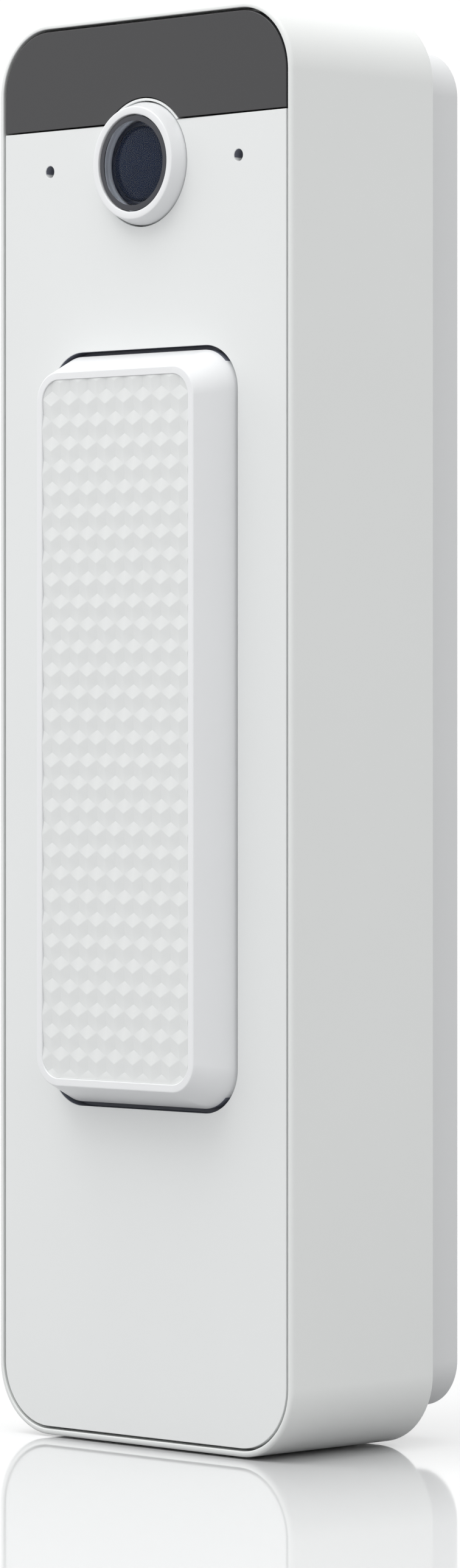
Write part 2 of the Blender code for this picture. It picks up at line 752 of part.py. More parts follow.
def make_sensor_board():
    width = HOUSING_WIDTH - 2 * (HOUSING_WALL + BOARD_EDGE_GAP)
    top = TOP - HOUSING_WALL - BOARD_EDGE_GAP
    board = block(
        "sensor_board",
        width,
        SENSOR_BOARD_HEIGHT,
        SENSOR_BOARD_FRONT,
        SENSOR_BOARD_BACK,
        z=top - SENSOR_BOARD_HEIGHT / 2,
        corner=HOUSING_CORNER - HOUSING_WALL - BOARD_EDGE_GAP,
        finish="circuit_board",
    )
    cut(
        board,
        rod(
            "barrel_passage",
            BARREL_RADIUS + 2 * FIT_GAP,
            SENSOR_BOARD_FRONT - PAST,
            SENSOR_BOARD_BACK + PAST,
            z=LENS_Z,
            steps=ROUND_STEPS,
        ),
    )
    seat = SENSOR_BOARD_FRONT - SOLDER_GAP
    mic_front = seat - MIC_THICKNESS
    seal_front = PLATE_BACK + SEAL_GAP
    seal_back = mic_front - SOLDER_GAP
    for side, x in (("left", -1), ("right", 1)):
        mic_x = x * MIC_X
        block(
            f"microphone_{side}",
            MIC_SIZE,
            MIC_SIZE,
            mic_front,
            seat,
            mic_x,
            LENS_Z,
            finish="tinned_steel",
        )
        bore = MIC_HOLE_RADIUS + SOLDER_GAP
        turned(
            f"microphone_seal_{side}",
            [
                (bore, seal_front),
                (MIC_SEAL_RADIUS, seal_front),
                (MIC_SEAL_RADIUS, seal_back),
                (bore, seal_back),
            ],
            mic_x,
            LENS_Z,
            steps=SMALL_ROUND_STEPS,
            finish="dark_rubber",
        )
        rod(
            f"infrared_light_{side}",
            INFRARED_RADIUS,
            seat - INFRARED_HEIGHT,
            seat,
            x * INFRARED_SPREAD,
            LENS_Z + INFRARED_ABOVE_LENS,
            finish="clear_glass",
        )
    block(
        "light_sensor",
        LIGHT_SENSOR_SIDE,
        LIGHT_SENSOR_SIDE,
        seat - LIGHT_SENSOR_THICKNESS,
        seat,
        z=LENS_Z + RING_FLANGE_RADIUS + LIGHT_SENSOR_GAP + LIGHT_SENSOR_SIDE / 2,
        finish="black_plastic",
    )


def make_button():
    skirt_back = FLANGE_BACK - SOLDER_GAP
    skirt_depth = skirt_back - PLATE_RECESS
    shape = slab(BUTTON_WIDTH, BUTTON_HEIGHT, skirt_depth, BUTTON_CORNER, CORNER_STEPS)
    face = min(shape.faces, key=lambda each: each.calc_center_median().y)
    bmesh.ops.inset_region(shape, faces=[face], thickness=BUTTON_TAPER)
    bmesh.ops.translate(shape, vec=(0.0, -(BUTTON_PROUD + PLATE_RECESS), 0.0), verts=face.verts)
    bevel(shape, list(face.edges), BUTTON_EDGE_ROUND, EDGE_STEPS)
    cap = new_object("button_cap", shape, (0.0, PLATE_RECESS + skirt_depth / 2, 0.0), "bright_white")
    join(
        cap,
        block(
            "cap_flange",
            BUTTON_WIDTH + 2 * FLANGE_WIDTH,
            BUTTON_HEIGHT + 2 * FLANGE_WIDTH,
            FLANGE_FRONT,
            FLANGE_BACK,
            corner=BUTTON_CORNER + FLANGE_WIDTH,
        ),
    )
    inner_width = BUTTON_WIDTH - 2 * BUTTON_WALL
    inner_height = BUTTON_HEIGHT - 2 * BUTTON_WALL
    cut(
        cap,
        block(
            "insert_seat",
            INSERT_WIDTH + 2 * INSERT_GAP,
            INSERT_HEIGHT + 2 * INSERT_GAP,
            -BUTTON_PROUD - PAST,
            LEDGE_FRONT,
            corner=INSERT_CORNER + INSERT_GAP,
        ),
        block(
            "ledge_opening",
            INSERT_WIDTH - 2 * LEDGE_WIDTH,
            INSERT_HEIGHT - 2 * LEDGE_WIDTH,
            -BUTTON_PROUD,
            FLANGE_BACK,
            corner=FIT_GAP,
        ),
        block(
            "guide_room",
            inner_width,
            inner_height,
            LEDGE_BACK,
            FLANGE_BACK + PAST,
            corner=BUTTON_CORNER - BUTTON_WALL,
        ),
    )
    smooth(cap)
    block(
        "button_insert",
        INSERT_WIDTH,
        INSERT_HEIGHT,
        INSERT_FRONT,
        INSERT_BACK,
        corner=INSERT_CORNER,
        finish="white_plastic",
    )
    guide = block(
        "light_guide",
        inner_width - 2 * FIT_GAP,
        inner_height - 2 * FIT_GAP,
        GUIDE_FRONT,
        GUIDE_BACK,
        corner=BUTTON_CORNER - BUTTON_WALL - FIT_GAP,
        finish="milky_guide",
    )
    for name, z in (("upper", SWITCH_Z), ("lower", -SWITCH_Z)):
        join(guide, rod(f"pad_{name}", PAD_RADIUS, GUIDE_BACK - SOLDER_GAP, PAD_BACK, z=z))


def make_button_tray():
    corner = BUTTON_CORNER + FLANGE_WIDTH
    tray = block(
        "button_tray",
        TRAY_WIDTH,
        TRAY_HEIGHT,
        TRAY_FRONT,
        TRAY_BACK,
        corner=corner,
        finish="black_plastic",
    )
    cut(
        tray,
        block(
            "tray_room",
            TRAY_ROOM_WIDTH,
            TRAY_ROOM_HEIGHT,
            TRAY_FRONT - PAST,
            TRAY_BACK - TRAY_FLOOR,
            corner=corner - FIT_GAP,
        ),
    )
    gasket = block(
        "button_gasket",
        TRAY_WIDTH,
        TRAY_HEIGHT,
        PLATE_BACK + SEAL_GAP,
        TRAY_FRONT - SEAL_GAP,
        corner=corner,
        finish="dark_rubber",
    )
    cut(
        gasket,
        block(
            "button_gasket_opening",
            TRAY_ROOM_WIDTH,
            TRAY_ROOM_HEIGHT,
            PLATE_BACK - PAST,
            TRAY_FRONT + PAST,
            corner=corner - FIT_GAP,
        ),
    )
    block(
        "button_board",
        TRAY_ROOM_WIDTH - 2 * BOARD_EDGE_GAP,
        TRAY_ROOM_HEIGHT - 2 * BOARD_EDGE_GAP,
        BUTTON_BOARD_FRONT,
        BUTTON_BOARD_BACK,
        corner=corner - FIT_GAP - BOARD_EDGE_GAP,
        finish="circuit_board",
    )
    seat = BUTTON_BOARD_FRONT - SOLDER_GAP
    for name, z in (("upper", SWITCH_Z), ("lower", -SWITCH_Z)):
        front = seat - SWITCH_HEIGHT
        body = block(
            f"switch_{name}", SWITCH_SIDE, SWITCH_SIDE, front, seat, z=z, finish="tinned_steel"
        )
        well = PLUNGER_RADIUS + PLUNGER_GAP
        cut(body, rod(f"switch_well_{name}", well, front - PAST, seat - PLUNGER_FLOOR, z=z))
        rod(
            f"switch_plunger_{name}",
            PLUNGER_RADIUS,
            PLUNGER_FRONT,
            PLUNGER_FRONT + PLUNGER_LENGTH,
            z=z,
            finish="black_plastic",
        )
    for number, (x, z) in enumerate(corner_places(LIGHT_COLUMN, LIGHT_ROW), 1):
        block(
            f"button_light_{number}",
            LIGHT_SIDE,
            LIGHT_SIDE,
            seat - LIGHT_HEIGHT,
            seat,
            x,
            z,
            finish="milky_guide",
        )


def make_main_board():
    width = HOUSING_WIDTH - 2 * (HOUSING_WALL + BOARD_EDGE_GAP)
    foot = FOOT + MAIN_BOARD_FOOT_MARGIN
    block(
        "main_board",
        width,
        MAIN_BOARD_TOP - foot,
        MAIN_BOARD_FRONT,
        MAIN_BOARD_BACK,
        z=(MAIN_BOARD_TOP + foot) / 2,
        corner=SMALL_CORNER,
        finish="circuit_board",
    )
    shield_back = ON_MAIN_BOARD + SHIELD_HEIGHT
    block(
        "processor_shield",
        SHIELD_SIDE,
        SHIELD_SIDE,
        ON_MAIN_BOARD,
        shield_back,
        z=SHIELD_RISE,
        corner=TINY_CORNER,
        finish="tinned_steel",
    )
    spreader_back = COVER_FRONT - SPREADER_GAP
    spreader = block(
        "heat_spreader",
        SPREADER_WIDTH,
        SPREADER_LENGTH,
        shield_back + FIT_GAP,
        spreader_back,
        z=SHIELD_RISE,
        corner=SMALL_CORNER,
        finish="cast_aluminium",
    )
    for number in range(FIN_COUNT):
        x = (number - (FIN_COUNT - 1) / 2) * SPREADER_WIDTH / FIN_COUNT
        slot = block(
            f"fin_slot_{number + 1}",
            FIN_SLOT_WIDTH,
            SPREADER_LENGTH + 2 * PAST,
            spreader_back - FIN_SLOT_DEPTH,
            spreader_back + PAST,
            x,
            SHIELD_RISE,
        )
        cut(spreader, slot)
    block(
        "power_coil",
        COIL_SIDE,
        COIL_SIDE,
        ON_MAIN_BOARD,
        ON_MAIN_BOARD + COIL_HEIGHT,
        COIL_X,
        -COIL_DROP,
        corner=COIL_CORNER,
        finish="black_plastic",
    )
    upright_rod(
        "power_capacitor",
        CAPACITOR_RADIUS,
        -CAPACITOR_DROP - CAPACITOR_LENGTH / 2,
        -CAPACITOR_DROP + CAPACITOR_LENGTH / 2,
        CAPACITOR_X,
        ON_MAIN_BOARD + CAPACITOR_RADIUS,
        finish="cast_aluminium",
    )
    block(
        "reset_switch",
        RESET_SWITCH_SIDE,
        RESET_SWITCH_SIDE,
        ON_MAIN_BOARD,
        ON_MAIN_BOARD + RESET_SWITCH_HEIGHT,
        RESET_X,
        RESET_Z,
        finish="tinned_steel",
    )


def make_speaker():
    z = FOOT + SPEAKER_FOOT_MARGIN + SPEAKER_LENGTH / 2
    back = SPEAKER_FRONT + SPEAKER_THICKNESS
    speaker = block(
        "speaker",
        SPEAKER_WIDTH,
        SPEAKER_LENGTH,
        SPEAKER_FRONT,
        back,
        z=z,
        corner=SPEAKER_CORNER,
        finish="black_plastic",
    )
    cut(speaker, rod("cone_hollow", CONE_RADIUS, SPEAKER_FRONT - PAST, SPEAKER_FRONT + CONE_DEPTH, z=z))
    frame_front = SHELF_FRONT
    frame_back = SPEAKER_FRONT - SEAL_GAP
    gasket = block(
        "speaker_gasket",
        SPEAKER_WIDTH,
        SPEAKER_LENGTH,
        frame_front,
        frame_back,
        z=z,
        corner=SPEAKER_CORNER,
        finish="dark_rubber",
    )
    cut(gasket, rod("sound_passage", CONE_RADIUS + FIT_GAP, frame_front - PAST, frame_back + PAST, z=z))
    mesh_low = FOOT + HOUSING_WALL + FIT_GAP
    mesh_width = OUTLET_PITCH * (OUTLET_COUNT - 1) + OUTLET_WIDTH + 2 * MESH_MARGIN
    half_length = OUTLET_LENGTH / 2 + MESH_MARGIN
    block(
        "outlet_mesh",
        mesh_width,
        MESH_THICKNESS,
        OUTLET_DEPTH - half_length,
        OUTLET_DEPTH + half_length,
        z=mesh_low + MESH_THICKNESS / 2,
        finish="tinned_steel",
    )


def make_ethernet_jack():
    jack = block(
        "ethernet_jack",
        JACK_WIDTH,
        JACK_HEIGHT,
        ON_MAIN_BOARD,
        JACK_BACK,
        z=JACK_Z,
        corner=TINY_CORNER,
        finish="tinned_steel",
    )
    socket_front = JACK_BACK - SOCKET_DEPTH
    cut(
        jack,
        block("jack_socket", SOCKET_WIDTH, SOCKET_HEIGHT, socket_front, JACK_BACK + PAST, z=JACK_Z),
    )
    outer = 2 * (SEAL_GAP + PORT_SEAL_WIDTH)
    seal = block(
        "port_seal",
        JACK_WIDTH + outer,
        JACK_HEIGHT + outer,
        COVER_FRONT,
        HOUSING_DEPTH + PORT_SEAL_PROUD,
        z=JACK_Z,
        corner=SMALL_CORNER,
        finish="dark_rubber",
    )
    cut(
        seal,
        block(
            "seal_opening",
            JACK_WIDTH + 2 * SEAL_GAP,
            JACK_HEIGHT + 2 * SEAL_GAP,
            COVER_FRONT - PAST,
            HOUSING_DEPTH + PORT_SEAL_PROUD + PAST,
            z=JACK_Z,
            corner=TINY_CORNER,
        ),
    )


def make_reset_button():
    flange_back = COVER_FRONT - FIT_GAP
    flange_front = flange_back - RESET_FLANGE_THICKNESS
    stem_front = ON_MAIN_BOARD + RESET_SWITCH_HEIGHT + SEAL_GAP + RESET_TRAVEL
    stem_back = HOUSING_DEPTH - RESET_RECESS
    turned(
        "reset_button",
        [
            (0.0, stem_front),
            (RESET_RADIUS, stem_front),
            (RESET_RADIUS, flange_front),
            (RESET_FLANGE_RADIUS, flange_front),
            (RESET_FLANGE_RADIUS, flange_back),
            (RESET_RADIUS, flange_back),
            (RESET_RADIUS, stem_back),
            (0.0, stem_back),
        ],
        RESET_X,
        RESET_Z,
        steps=SMALL_ROUND_STEPS,
        finish="black_plastic",
    )
    vent_back = COVER_FRONT - SEAL_GAP
    rod(
        "pressure_vent",
        VENT_RADIUS,
        vent_back - VENT_THICKNESS,
        vent_back,
        -RESET_X,
        RESET_Z,
        finish="white_plastic",
    )


def make_rear_cover():
    cover_inset = COVER_EDGE + FIT_GAP
    cover = inset_block("rear_cover", cover_inset, COVER_FRONT, HOUSING_DEPTH, "white_plastic")
    room_width = 2 * (HOOK_X + HOOK_WIDTH / 2 + POCKET_SIDE_ROOM)
    room_front = LIP_FRONT - POCKET_ROOM
    room_foot = HOOK_FOOT - POCKET_ROOM_BELOW
    room_top = LIP_TOP + FIT_GAP
    room_height = room_top - room_foot
    middle = (room_foot + room_top) / 2
    join(
        cover,
        block(
            "hook_pocket",
            room_width + 2 * POCKET_WALL,
            room_height + 2 * POCKET_WALL,
            room_front - POCKET_WALL,
            COVER_FRONT + COVER_WALL / 2,
            z=middle,
        ),
    )
    cut(cover, block("hook_room", room_width, room_height, room_front, COVER_FRONT, z=middle))
    lock_boss_top = LOCK_BOSS_FOOT + LOCK_BOSS_HEIGHT
    join(
        cover,
        block(
            "lock_boss",
            LOCK_BOSS_WIDTH,
            LOCK_BOSS_HEIGHT,
            HOUSING_DEPTH - COVER_WALL / 2,
            HOUSING_DEPTH + LOCK_BOSS_PROUD,
            z=(LOCK_BOSS_FOOT + lock_boss_top) / 2,
        ),
    )
    cut(
        cover,
        upright_rod(
            "lock_hole",
            LOCK_RADIUS + LOCK_GAP,
            LOCK_BOSS_FOOT - PAST,
            LOCK_TIP + LOCK_TRAVEL + LOCK_HOLE_SPARE,
            depth=LOCK_DEPTH,
        ),
    )
    slot_low = HOOK_FOOT - HOOK_SLOT_BELOW
    slot_high = HOOK_TOP + HOOK_SLOT_ABOVE
    for side, x in (("left", -HOOK_X), ("right", HOOK_X)):
        slot = block(
            f"hook_slot_{side}",
            HOOK_WIDTH + 2 * FIT_GAP,
            slot_high - slot_low,
            COVER_FRONT - FIT_GAP,
            HOUSING_DEPTH + PAST,
            x,
            (slot_low + slot_high) / 2,
        )
        cut(cover, slot)
    through = (COVER_FRONT - PAST, HOUSING_DEPTH + PAST)
    seal_room = 2 * (SEAL_GAP + PORT_SEAL_WIDTH + SEAL_GAP)
    cut(
        cover,
        block(
            "jack_opening",
            JACK_WIDTH + seal_room,
            JACK_HEIGHT + seal_room,
            *through,
            z=JACK_Z,
            corner=SMALL_CORNER + SEAL_GAP,
        ),
        rod("reset_hole", RESET_RADIUS + FIT_GAP, *through, RESET_X, RESET_Z),
        rod("vent_hole", VENT_HOLE_RADIUS, *through, -RESET_X, RESET_Z),
    )
    seat_front = HOUSING_DEPTH - SCREW_HEAD_HEIGHT - SEAL_GAP
    seat_radius = SCREW_HEAD_RADIUS + SCREW_GAP
    for number, (x, z) in enumerate(corner_places(BOSS_X, BOSS_Z), 1):
        cut(
            cover,
            rod(f"screw_hole_{number}", SCREW_RADIUS + SCREW_GAP, *through, x, z),
            rod(f"head_seat_{number}", seat_radius, seat_front, HOUSING_DEPTH + PAST, x, z),
        )
        make_cover_screw(number, x, z, seat_front + SOLDER_GAP)
    smooth(cover)
    gasket_inset = COVER_EDGE + SEAL_GAP
    gasket_back = REAR_GASKET_FRONT + REAR_GASKET_THICKNESS
    gasket = inset_block("rear_gasket", gasket_inset, REAR_GASKET_FRONT, gasket_back, "dark_rubber")
    opening_inset = gasket_inset + REAR_GASKET_WIDTH
    cut(gasket, inset_block("rear_gasket_opening", opening_inset, REAR_GASKET_FRONT - PAST, COVER_FRONT))


def make_cover_screw(number, x, z, head_front):
    """Pan head with a hexagonal socket, over a plain shank."""
    tip = head_front - SCREW_LENGTH
    head_back = head_front + SCREW_HEAD_HEIGHT
    screw = turned(
        f"cover_screw_{number}",
        [
            (0.0, tip),
            (SCREW_RADIUS, tip),
            (SCREW_RADIUS, head_front),
            (SCREW_HEAD_RADIUS, head_front),
            (SCREW_HEAD_RADIUS, head_back),
            (0.0, head_back),
        ],
        x,
        z,
        steps=SMALL_ROUND_STEPS,
        finish="tinned_steel",
    )
    socket_floor = head_back - SCREW_HEAD_HEIGHT / 2
    socket = rod(
        f"screw_socket_{number}", SCREW_RADIUS, socket_floor, head_back + PAST, x, z, SOCKET_STEPS
    )
    cut(screw, socket)


def make_bracket():
    width = HOUSING_WIDTH - 2 * BRACKET_INSET
    height = HOUSING_HEIGHT - 2 * BRACKET_INSET
    depth = BRACKET_BACK - BRACKET_FRONT
    shape = slab(width, height, depth, BRACKET_CORNER, CORNER_STEPS)
    bevel(shape, edges_at_depth(shape, depth / 2), BRACKET_EDGE_ROUND, EDGE_STEPS)
    place = (0.0, (BRACKET_FRONT + BRACKET_BACK) / 2, 0.0)
    bracket = new_object("wall_bracket", shape, place, "satin_white")
    cut(
        bracket,
        block(
            "bracket_room",
            width - 2 * BRACKET_WALL,
            height - 2 * BRACKET_WALL,
            BRACKET_FRONT - PAST,
            BRACKET_FLOOR,
            corner=BRACKET_CORNER - BRACKET_WALL,
            steps=SMALL_CORNER_STEPS,
        ),
        block(
            "cable_window",
            CABLE_WINDOW_WIDTH,
            CABLE_WINDOW_HEIGHT,
            BRACKET_FLOOR - PAST,
            BRACKET_BACK + PAST,
            z=JACK_Z,
            corner=CABLE_WINDOW_CORNER,
        ),
    )
    for number, z in enumerate(WALL_SLOT_HEIGHTS, 1):
        corner = WALL_SLOT_WIDTH * SLOT_ROUNDING
        shape = slab(WALL_SLOT_WIDTH, WALL_SLOT_LENGTH, BRACKET_WALL + 2 * PAST, corner)
        place = (0.0, BRACKET_FLOOR + BRACKET_WALL / 2, z)
        cut(bracket, new_object(f"wall_slot_{number}", shape, place, None))
    root = BRACKET_FLOOR + BRACKET_WALL / 2
    hook_middle = (HOOK_FOOT + LIP_TOP) / 2
    arm_room = HOOK_LIP_HEIGHT + PAST
    arm_room_z = HOOK_TOP + arm_room / 2
    for side, x in (("left", -HOOK_X), ("right", HOOK_X)):
        hook = block(f"hook_{side}", HOOK_WIDTH, LIP_TOP - HOOK_FOOT, LIP_FRONT, root, x, hook_middle)
        cut(hook, block(f"over_arm_{side}", 2 * HOOK_WIDTH, arm_room, LIP_BACK, root + PAST, x, arm_room_z))
        join(bracket, hook)
    pad_middle = BRACKET_FOOT + LOCK_PAD_HEIGHT / 2 + BRACKET_WALL / 4
    join(
        bracket,
        block(
            "lock_pad",
            LOCK_PAD_WIDTH,
            LOCK_PAD_HEIGHT - BRACKET_WALL / 2,
            BRACKET_FRONT + FIT_GAP,
            root,
            z=pad_middle,
        ),
    )
    cut(
        bracket,
        upright_rod(
            "lock_passage",
            LOCK_RADIUS + LOCK_GAP,
            BRACKET_FOOT - PAST,
            BRACKET_FOOT + LOCK_PAD_HEIGHT + PAST,
            depth=LOCK_DEPTH,
        ),
        upright_rod(
            "head_room",
            LOCK_HEAD_RADIUS + LOCK_GAP,
            BRACKET_FOOT - PAST,
            BRACKET_FOOT + COUNTERBORE_DEPTH,
            depth=LOCK_DEPTH,
            steps=HEAD_ROOM_STEPS,
        ),
    )
    smooth(bracket)
    return bracket


def make_lock_screw():
    """Pan head under the bracket's foot and a shank that reaches up through it."""
    head_foot = LOCK_HEAD_TOP - LOCK_HEAD_HEIGHT
    head = upright_rod(
        "lock_screw",
        LOCK_HEAD_RADIUS,
        head_foot,
        LOCK_HEAD_TOP,
        depth=LOCK_DEPTH,
        finish="tinned_steel",
    )
    shank_foot = LOCK_HEAD_TOP - SOLDER_GAP
    join(head, upright_rod("lock_shank", LOCK_RADIUS, shank_foot, LOCK_TIP, depth=LOCK_DEPTH))
    cut(
        head,
        upright_rod(
            "lock_socket",
            LOCK_RADIUS,
            head_foot - PAST,
            head_foot + LOCK_HEAD_HEIGHT / 2,
            depth=LOCK_DEPTH,
            steps=SOCKET_STEPS,
        ),
    )
    return head


def hang_on_hinge(*pieces):
    """An empty on the bracket's swing axis carries the pieces that swing with it."""
    hinge = bpy.data.objects.new("bracket_hinge", None)
    hinge.location = (0.0, BRACKET_FRONT, SWING_Z)
    hinge.parent = front_frame
    parts.objects.link(hinge)
    for piece in pieces:
        piece.parent = hinge
        piece.location -= hinge.location


clear_scene()
parts = new_collection("video_doorbell")
cutters = new_collection("cutters")
front_frame = bpy.data.objects.new("front_frame", None)
front_frame.location = (0.0, FRONT_Y, HOUSING_HEIGHT / 2)
parts.objects.link(front_frame)

make_housing()
make_front_plate()
make_sensor_window()
make_plate_gasket()
make_camera()
make_sensor_board()
make_button()
make_button_tray()
make_main_board()
make_speaker()
make_ethernet_jack()
make_reset_button()
make_rear_cover()
hang_on_hinge(make_bracket(), make_lock_screw())
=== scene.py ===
"""Slim video doorbell on its wall bracket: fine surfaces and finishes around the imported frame.

Metres, +Z up, front towards -Y. Every piece is shaped where the frame says its part is.
"""

import json
import math

import bmesh
import bpy
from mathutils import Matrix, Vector


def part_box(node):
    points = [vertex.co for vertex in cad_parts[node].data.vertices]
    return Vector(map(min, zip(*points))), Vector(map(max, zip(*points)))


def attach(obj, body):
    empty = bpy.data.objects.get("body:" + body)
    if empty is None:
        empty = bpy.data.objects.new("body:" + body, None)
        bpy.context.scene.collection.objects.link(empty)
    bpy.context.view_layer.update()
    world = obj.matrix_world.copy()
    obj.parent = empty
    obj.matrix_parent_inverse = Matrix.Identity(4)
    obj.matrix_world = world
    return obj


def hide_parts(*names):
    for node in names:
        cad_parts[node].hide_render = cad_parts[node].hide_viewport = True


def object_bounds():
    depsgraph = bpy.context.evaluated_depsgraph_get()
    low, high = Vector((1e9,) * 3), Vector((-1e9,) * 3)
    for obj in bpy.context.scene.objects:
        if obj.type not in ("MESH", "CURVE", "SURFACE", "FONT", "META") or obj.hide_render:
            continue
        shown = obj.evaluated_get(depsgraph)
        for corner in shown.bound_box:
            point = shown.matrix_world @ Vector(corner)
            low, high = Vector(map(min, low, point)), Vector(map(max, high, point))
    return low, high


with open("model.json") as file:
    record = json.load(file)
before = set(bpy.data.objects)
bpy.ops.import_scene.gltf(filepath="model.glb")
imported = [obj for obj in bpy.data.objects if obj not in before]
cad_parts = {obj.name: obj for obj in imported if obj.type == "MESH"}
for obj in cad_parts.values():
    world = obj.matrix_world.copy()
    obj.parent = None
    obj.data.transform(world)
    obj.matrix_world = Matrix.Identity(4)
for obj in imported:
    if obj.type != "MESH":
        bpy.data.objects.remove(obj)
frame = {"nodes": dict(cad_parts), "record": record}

cad_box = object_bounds()

CORNER_STEPS = 20
ROUND_STEPS = 96
SMALL_ROUND_STEPS = 40
EASE_STEPS = 4
SAME_PLACE = 1e-6
PAST = 0.001


# Working on a mesh


def only(piece):
    """Leaves this piece alone selected and active."""
    bpy.ops.object.select_all(action="DESELECT")
    bpy.context.view_layer.objects.active = piece
    piece.select_set(True)


def open_mesh(piece):
    only(piece)
    bpy.ops.object.mode_set(mode="EDIT")


def close_mesh():
    bpy.ops.object.mode_set(mode="OBJECT")


def pick(piece, kind, wanted):
    """In edit mode, selects the vertices, edges or faces that pass a test."""
    bpy.ops.mesh.select_mode(type=kind)
    bpy.ops.mesh.select_all(action="DESELECT")
    shape = bmesh.from_edit_mesh(piece.data)
    shape.verts.index_update()
    for part in {"VERT": shape.verts, "EDGE": shape.edges, "FACE": shape.faces}[kind]:
        if wanted(part):
            part.select_set(True)
    shape.select_flush_mode()
    bmesh.update_edit_mesh(piece.data)


def picked_points(piece):
    shape = bmesh.from_edit_mesh(piece.data)
    shape.verts.index_update()
    return {point.index for point in shape.verts if point.select}


def started(name):
    """Names the primitive just added, and puts its place into its mesh."""
    piece = bpy.context.object
    piece.name = name
    piece.data.name = name
    bpy.ops.object.transform_apply(location=True, rotation=True, scale=True)
    return piece


def bevel_picked(size, steps, affect="EDGES"):
    bpy.ops.mesh.bevel(offset=size, segments=steps, profile=0.5, affect=affect)


def tidy(piece):
    """Merges what meets, and turns every face outwards."""
    open_mesh(piece)
    bpy.ops.mesh.select_all(action="SELECT")
    bpy.ops.mesh.remove_doubles(threshold=SAME_PLACE)
    bpy.ops.mesh.normals_make_consistent(inside=False)
    close_mesh()
    return piece


def apply(piece, kind, **settings):
    only(piece)
    step = piece.modifiers.new(kind.lower(), kind)
    for setting, value in settings.items():
        setattr(step, setting, value)
    bpy.ops.object.modifier_apply(modifier=step.name)


def combine(piece, others, operation):
    for other in others:
        apply(piece, "BOOLEAN", object=other, operation=operation, solver="EXACT")
        bpy.data.objects.remove(other)
    return piece


def cut(piece, *others):
    return combine(piece, others, "DIFFERENCE")


def join(piece, *others):
    return combine(piece, others, "UNION")


def ease_rims(piece, y, size, steps=2):
    """Rounds the sharp edges that lie in the plane at this depth."""
    open_mesh(piece)
    pick(
        piece,
        "EDGE",
        lambda edge: edge.calc_face_angle(0.0) > math.radians(40)
        and all(abs(point.co.y - y) < SAME_PLACE * 10 for point in edge.verts),
    )
    bevel_picked(size, steps)
    close_mesh()


# Shapes


def block(name, low, high):
    low, high = Vector(low), Vector(high)
    bpy.ops.object.select_all(action="DESELECT")
    bpy.ops.mesh.primitive_cube_add(size=1.0, location=(low + high) / 2)
    piece = started(name)
    open_mesh(piece)
    bpy.ops.mesh.select_all(action="SELECT")
    bpy.ops.transform.resize(value=high - low, center_override=(low + high) / 2)
    close_mesh()
    return piece


def disc(name, radius, front, back, x, z, steps=SMALL_ROUND_STEPS):
    """A cylinder along Y."""
    bpy.ops.object.select_all(action="DESELECT")
    bpy.ops.mesh.primitive_cylinder_add(
        vertices=steps,
        radius=radius,
        depth=back - front,
        location=(x, (front + back) / 2, z),
        rotation=(math.pi / 2, 0, 0),
    )
    return started(name)


def post(name, radius, low, high, x, y, steps=SMALL_ROUND_STEPS):
    """A cylinder along Z."""
    bpy.ops.object.select_all(action="DESELECT")
    bpy.ops.mesh.primitive_cylinder_add(
        vertices=steps, radius=radius, depth=high - low, location=(x, y, (low + high) / 2)
    )
    return started(name)


def eased(profile, closed, middle):
    """Rounds each corner of a profile whose third number is a radius.

    An open profile ends flat, at the middle.
    """
    corners = [Vector(point[:2]) for point in profile]
    if closed:
        corners = [corners[-1]] + corners + [corners[0]]
    else:
        corners = [Vector((middle, corners[0].y))] + corners + [Vector((middle, corners[-1].y))]
    smooth = []
    for number, (across, y, radius) in enumerate(profile, 1):
        here = corners[number]
        if not radius:
            smooth.append((across, y))
            continue
        back = (corners[number - 1] - here).normalized()
        ahead = (corners[number + 1] - here).normalized()
        half = back.angle(ahead) / 2
        centre = here + (back + ahead).normalized() * radius / math.sin(half)
        spoke = here + back * radius / math.tan(half) - centre
        last = here + ahead * radius / math.tan(half) - centre
        start = math.atan2(spoke.y, spoke.x)
        turn = (math.atan2(last.y, last.x) - start + math.pi) % (2 * math.pi) - math.pi
        for step in range(EASE_STEPS + 1):
            angle = start + turn * step / EASE_STEPS
            x = centre.x + radius * math.cos(angle)
            smooth.append((x, centre.y + radius * math.sin(angle)))
    return smooth


def fill_ends(piece, *depths):
    """Closes the open ends that lie at these depths with flat faces."""
    for depth in depths:
        pick(
            piece,
            "EDGE",
            lambda edge: edge.is_boundary
            and all(abs(point.co.y - depth) < SAME_PLACE for point in edge.verts),
        )
        bpy.ops.mesh.edge_face_add()


def turned(name, profile, x, z, closed=False, steps=ROUND_STEPS):
    """A turned piece through rings of these radii and depths, with flat ends unless it is closed."""
    points = eased(profile, closed, 0.0)
    radius, y = points[0]
    bpy.ops.object.select_all(action="DESELECT")
    bpy.ops.mesh.primitive_circle_add(
        vertices=steps, radius=radius, location=(x, y, z), rotation=(math.pi / 2, 0, 0)
    )
    piece = started(name)
    open_mesh(piece)
    bpy.ops.mesh.select_mode(type="EDGE")
    bpy.ops.mesh.select_all(action="SELECT")
    for next_radius, next_y in points[1:] + ([points[0]] if closed else []):
        bpy.ops.mesh.extrude_region_move(TRANSFORM_OT_translate={"value": (0, next_y - y, 0)})
        share = next_radius / radius
        bpy.ops.transform.resize(value=(share, 1, share), center_override=(x, next_y, z))
        radius, y = next_radius, next_y
    if not closed:
        fill_ends(piece, points[0][1], points[-1][1])
    close_mesh()
    return tidy(piece)


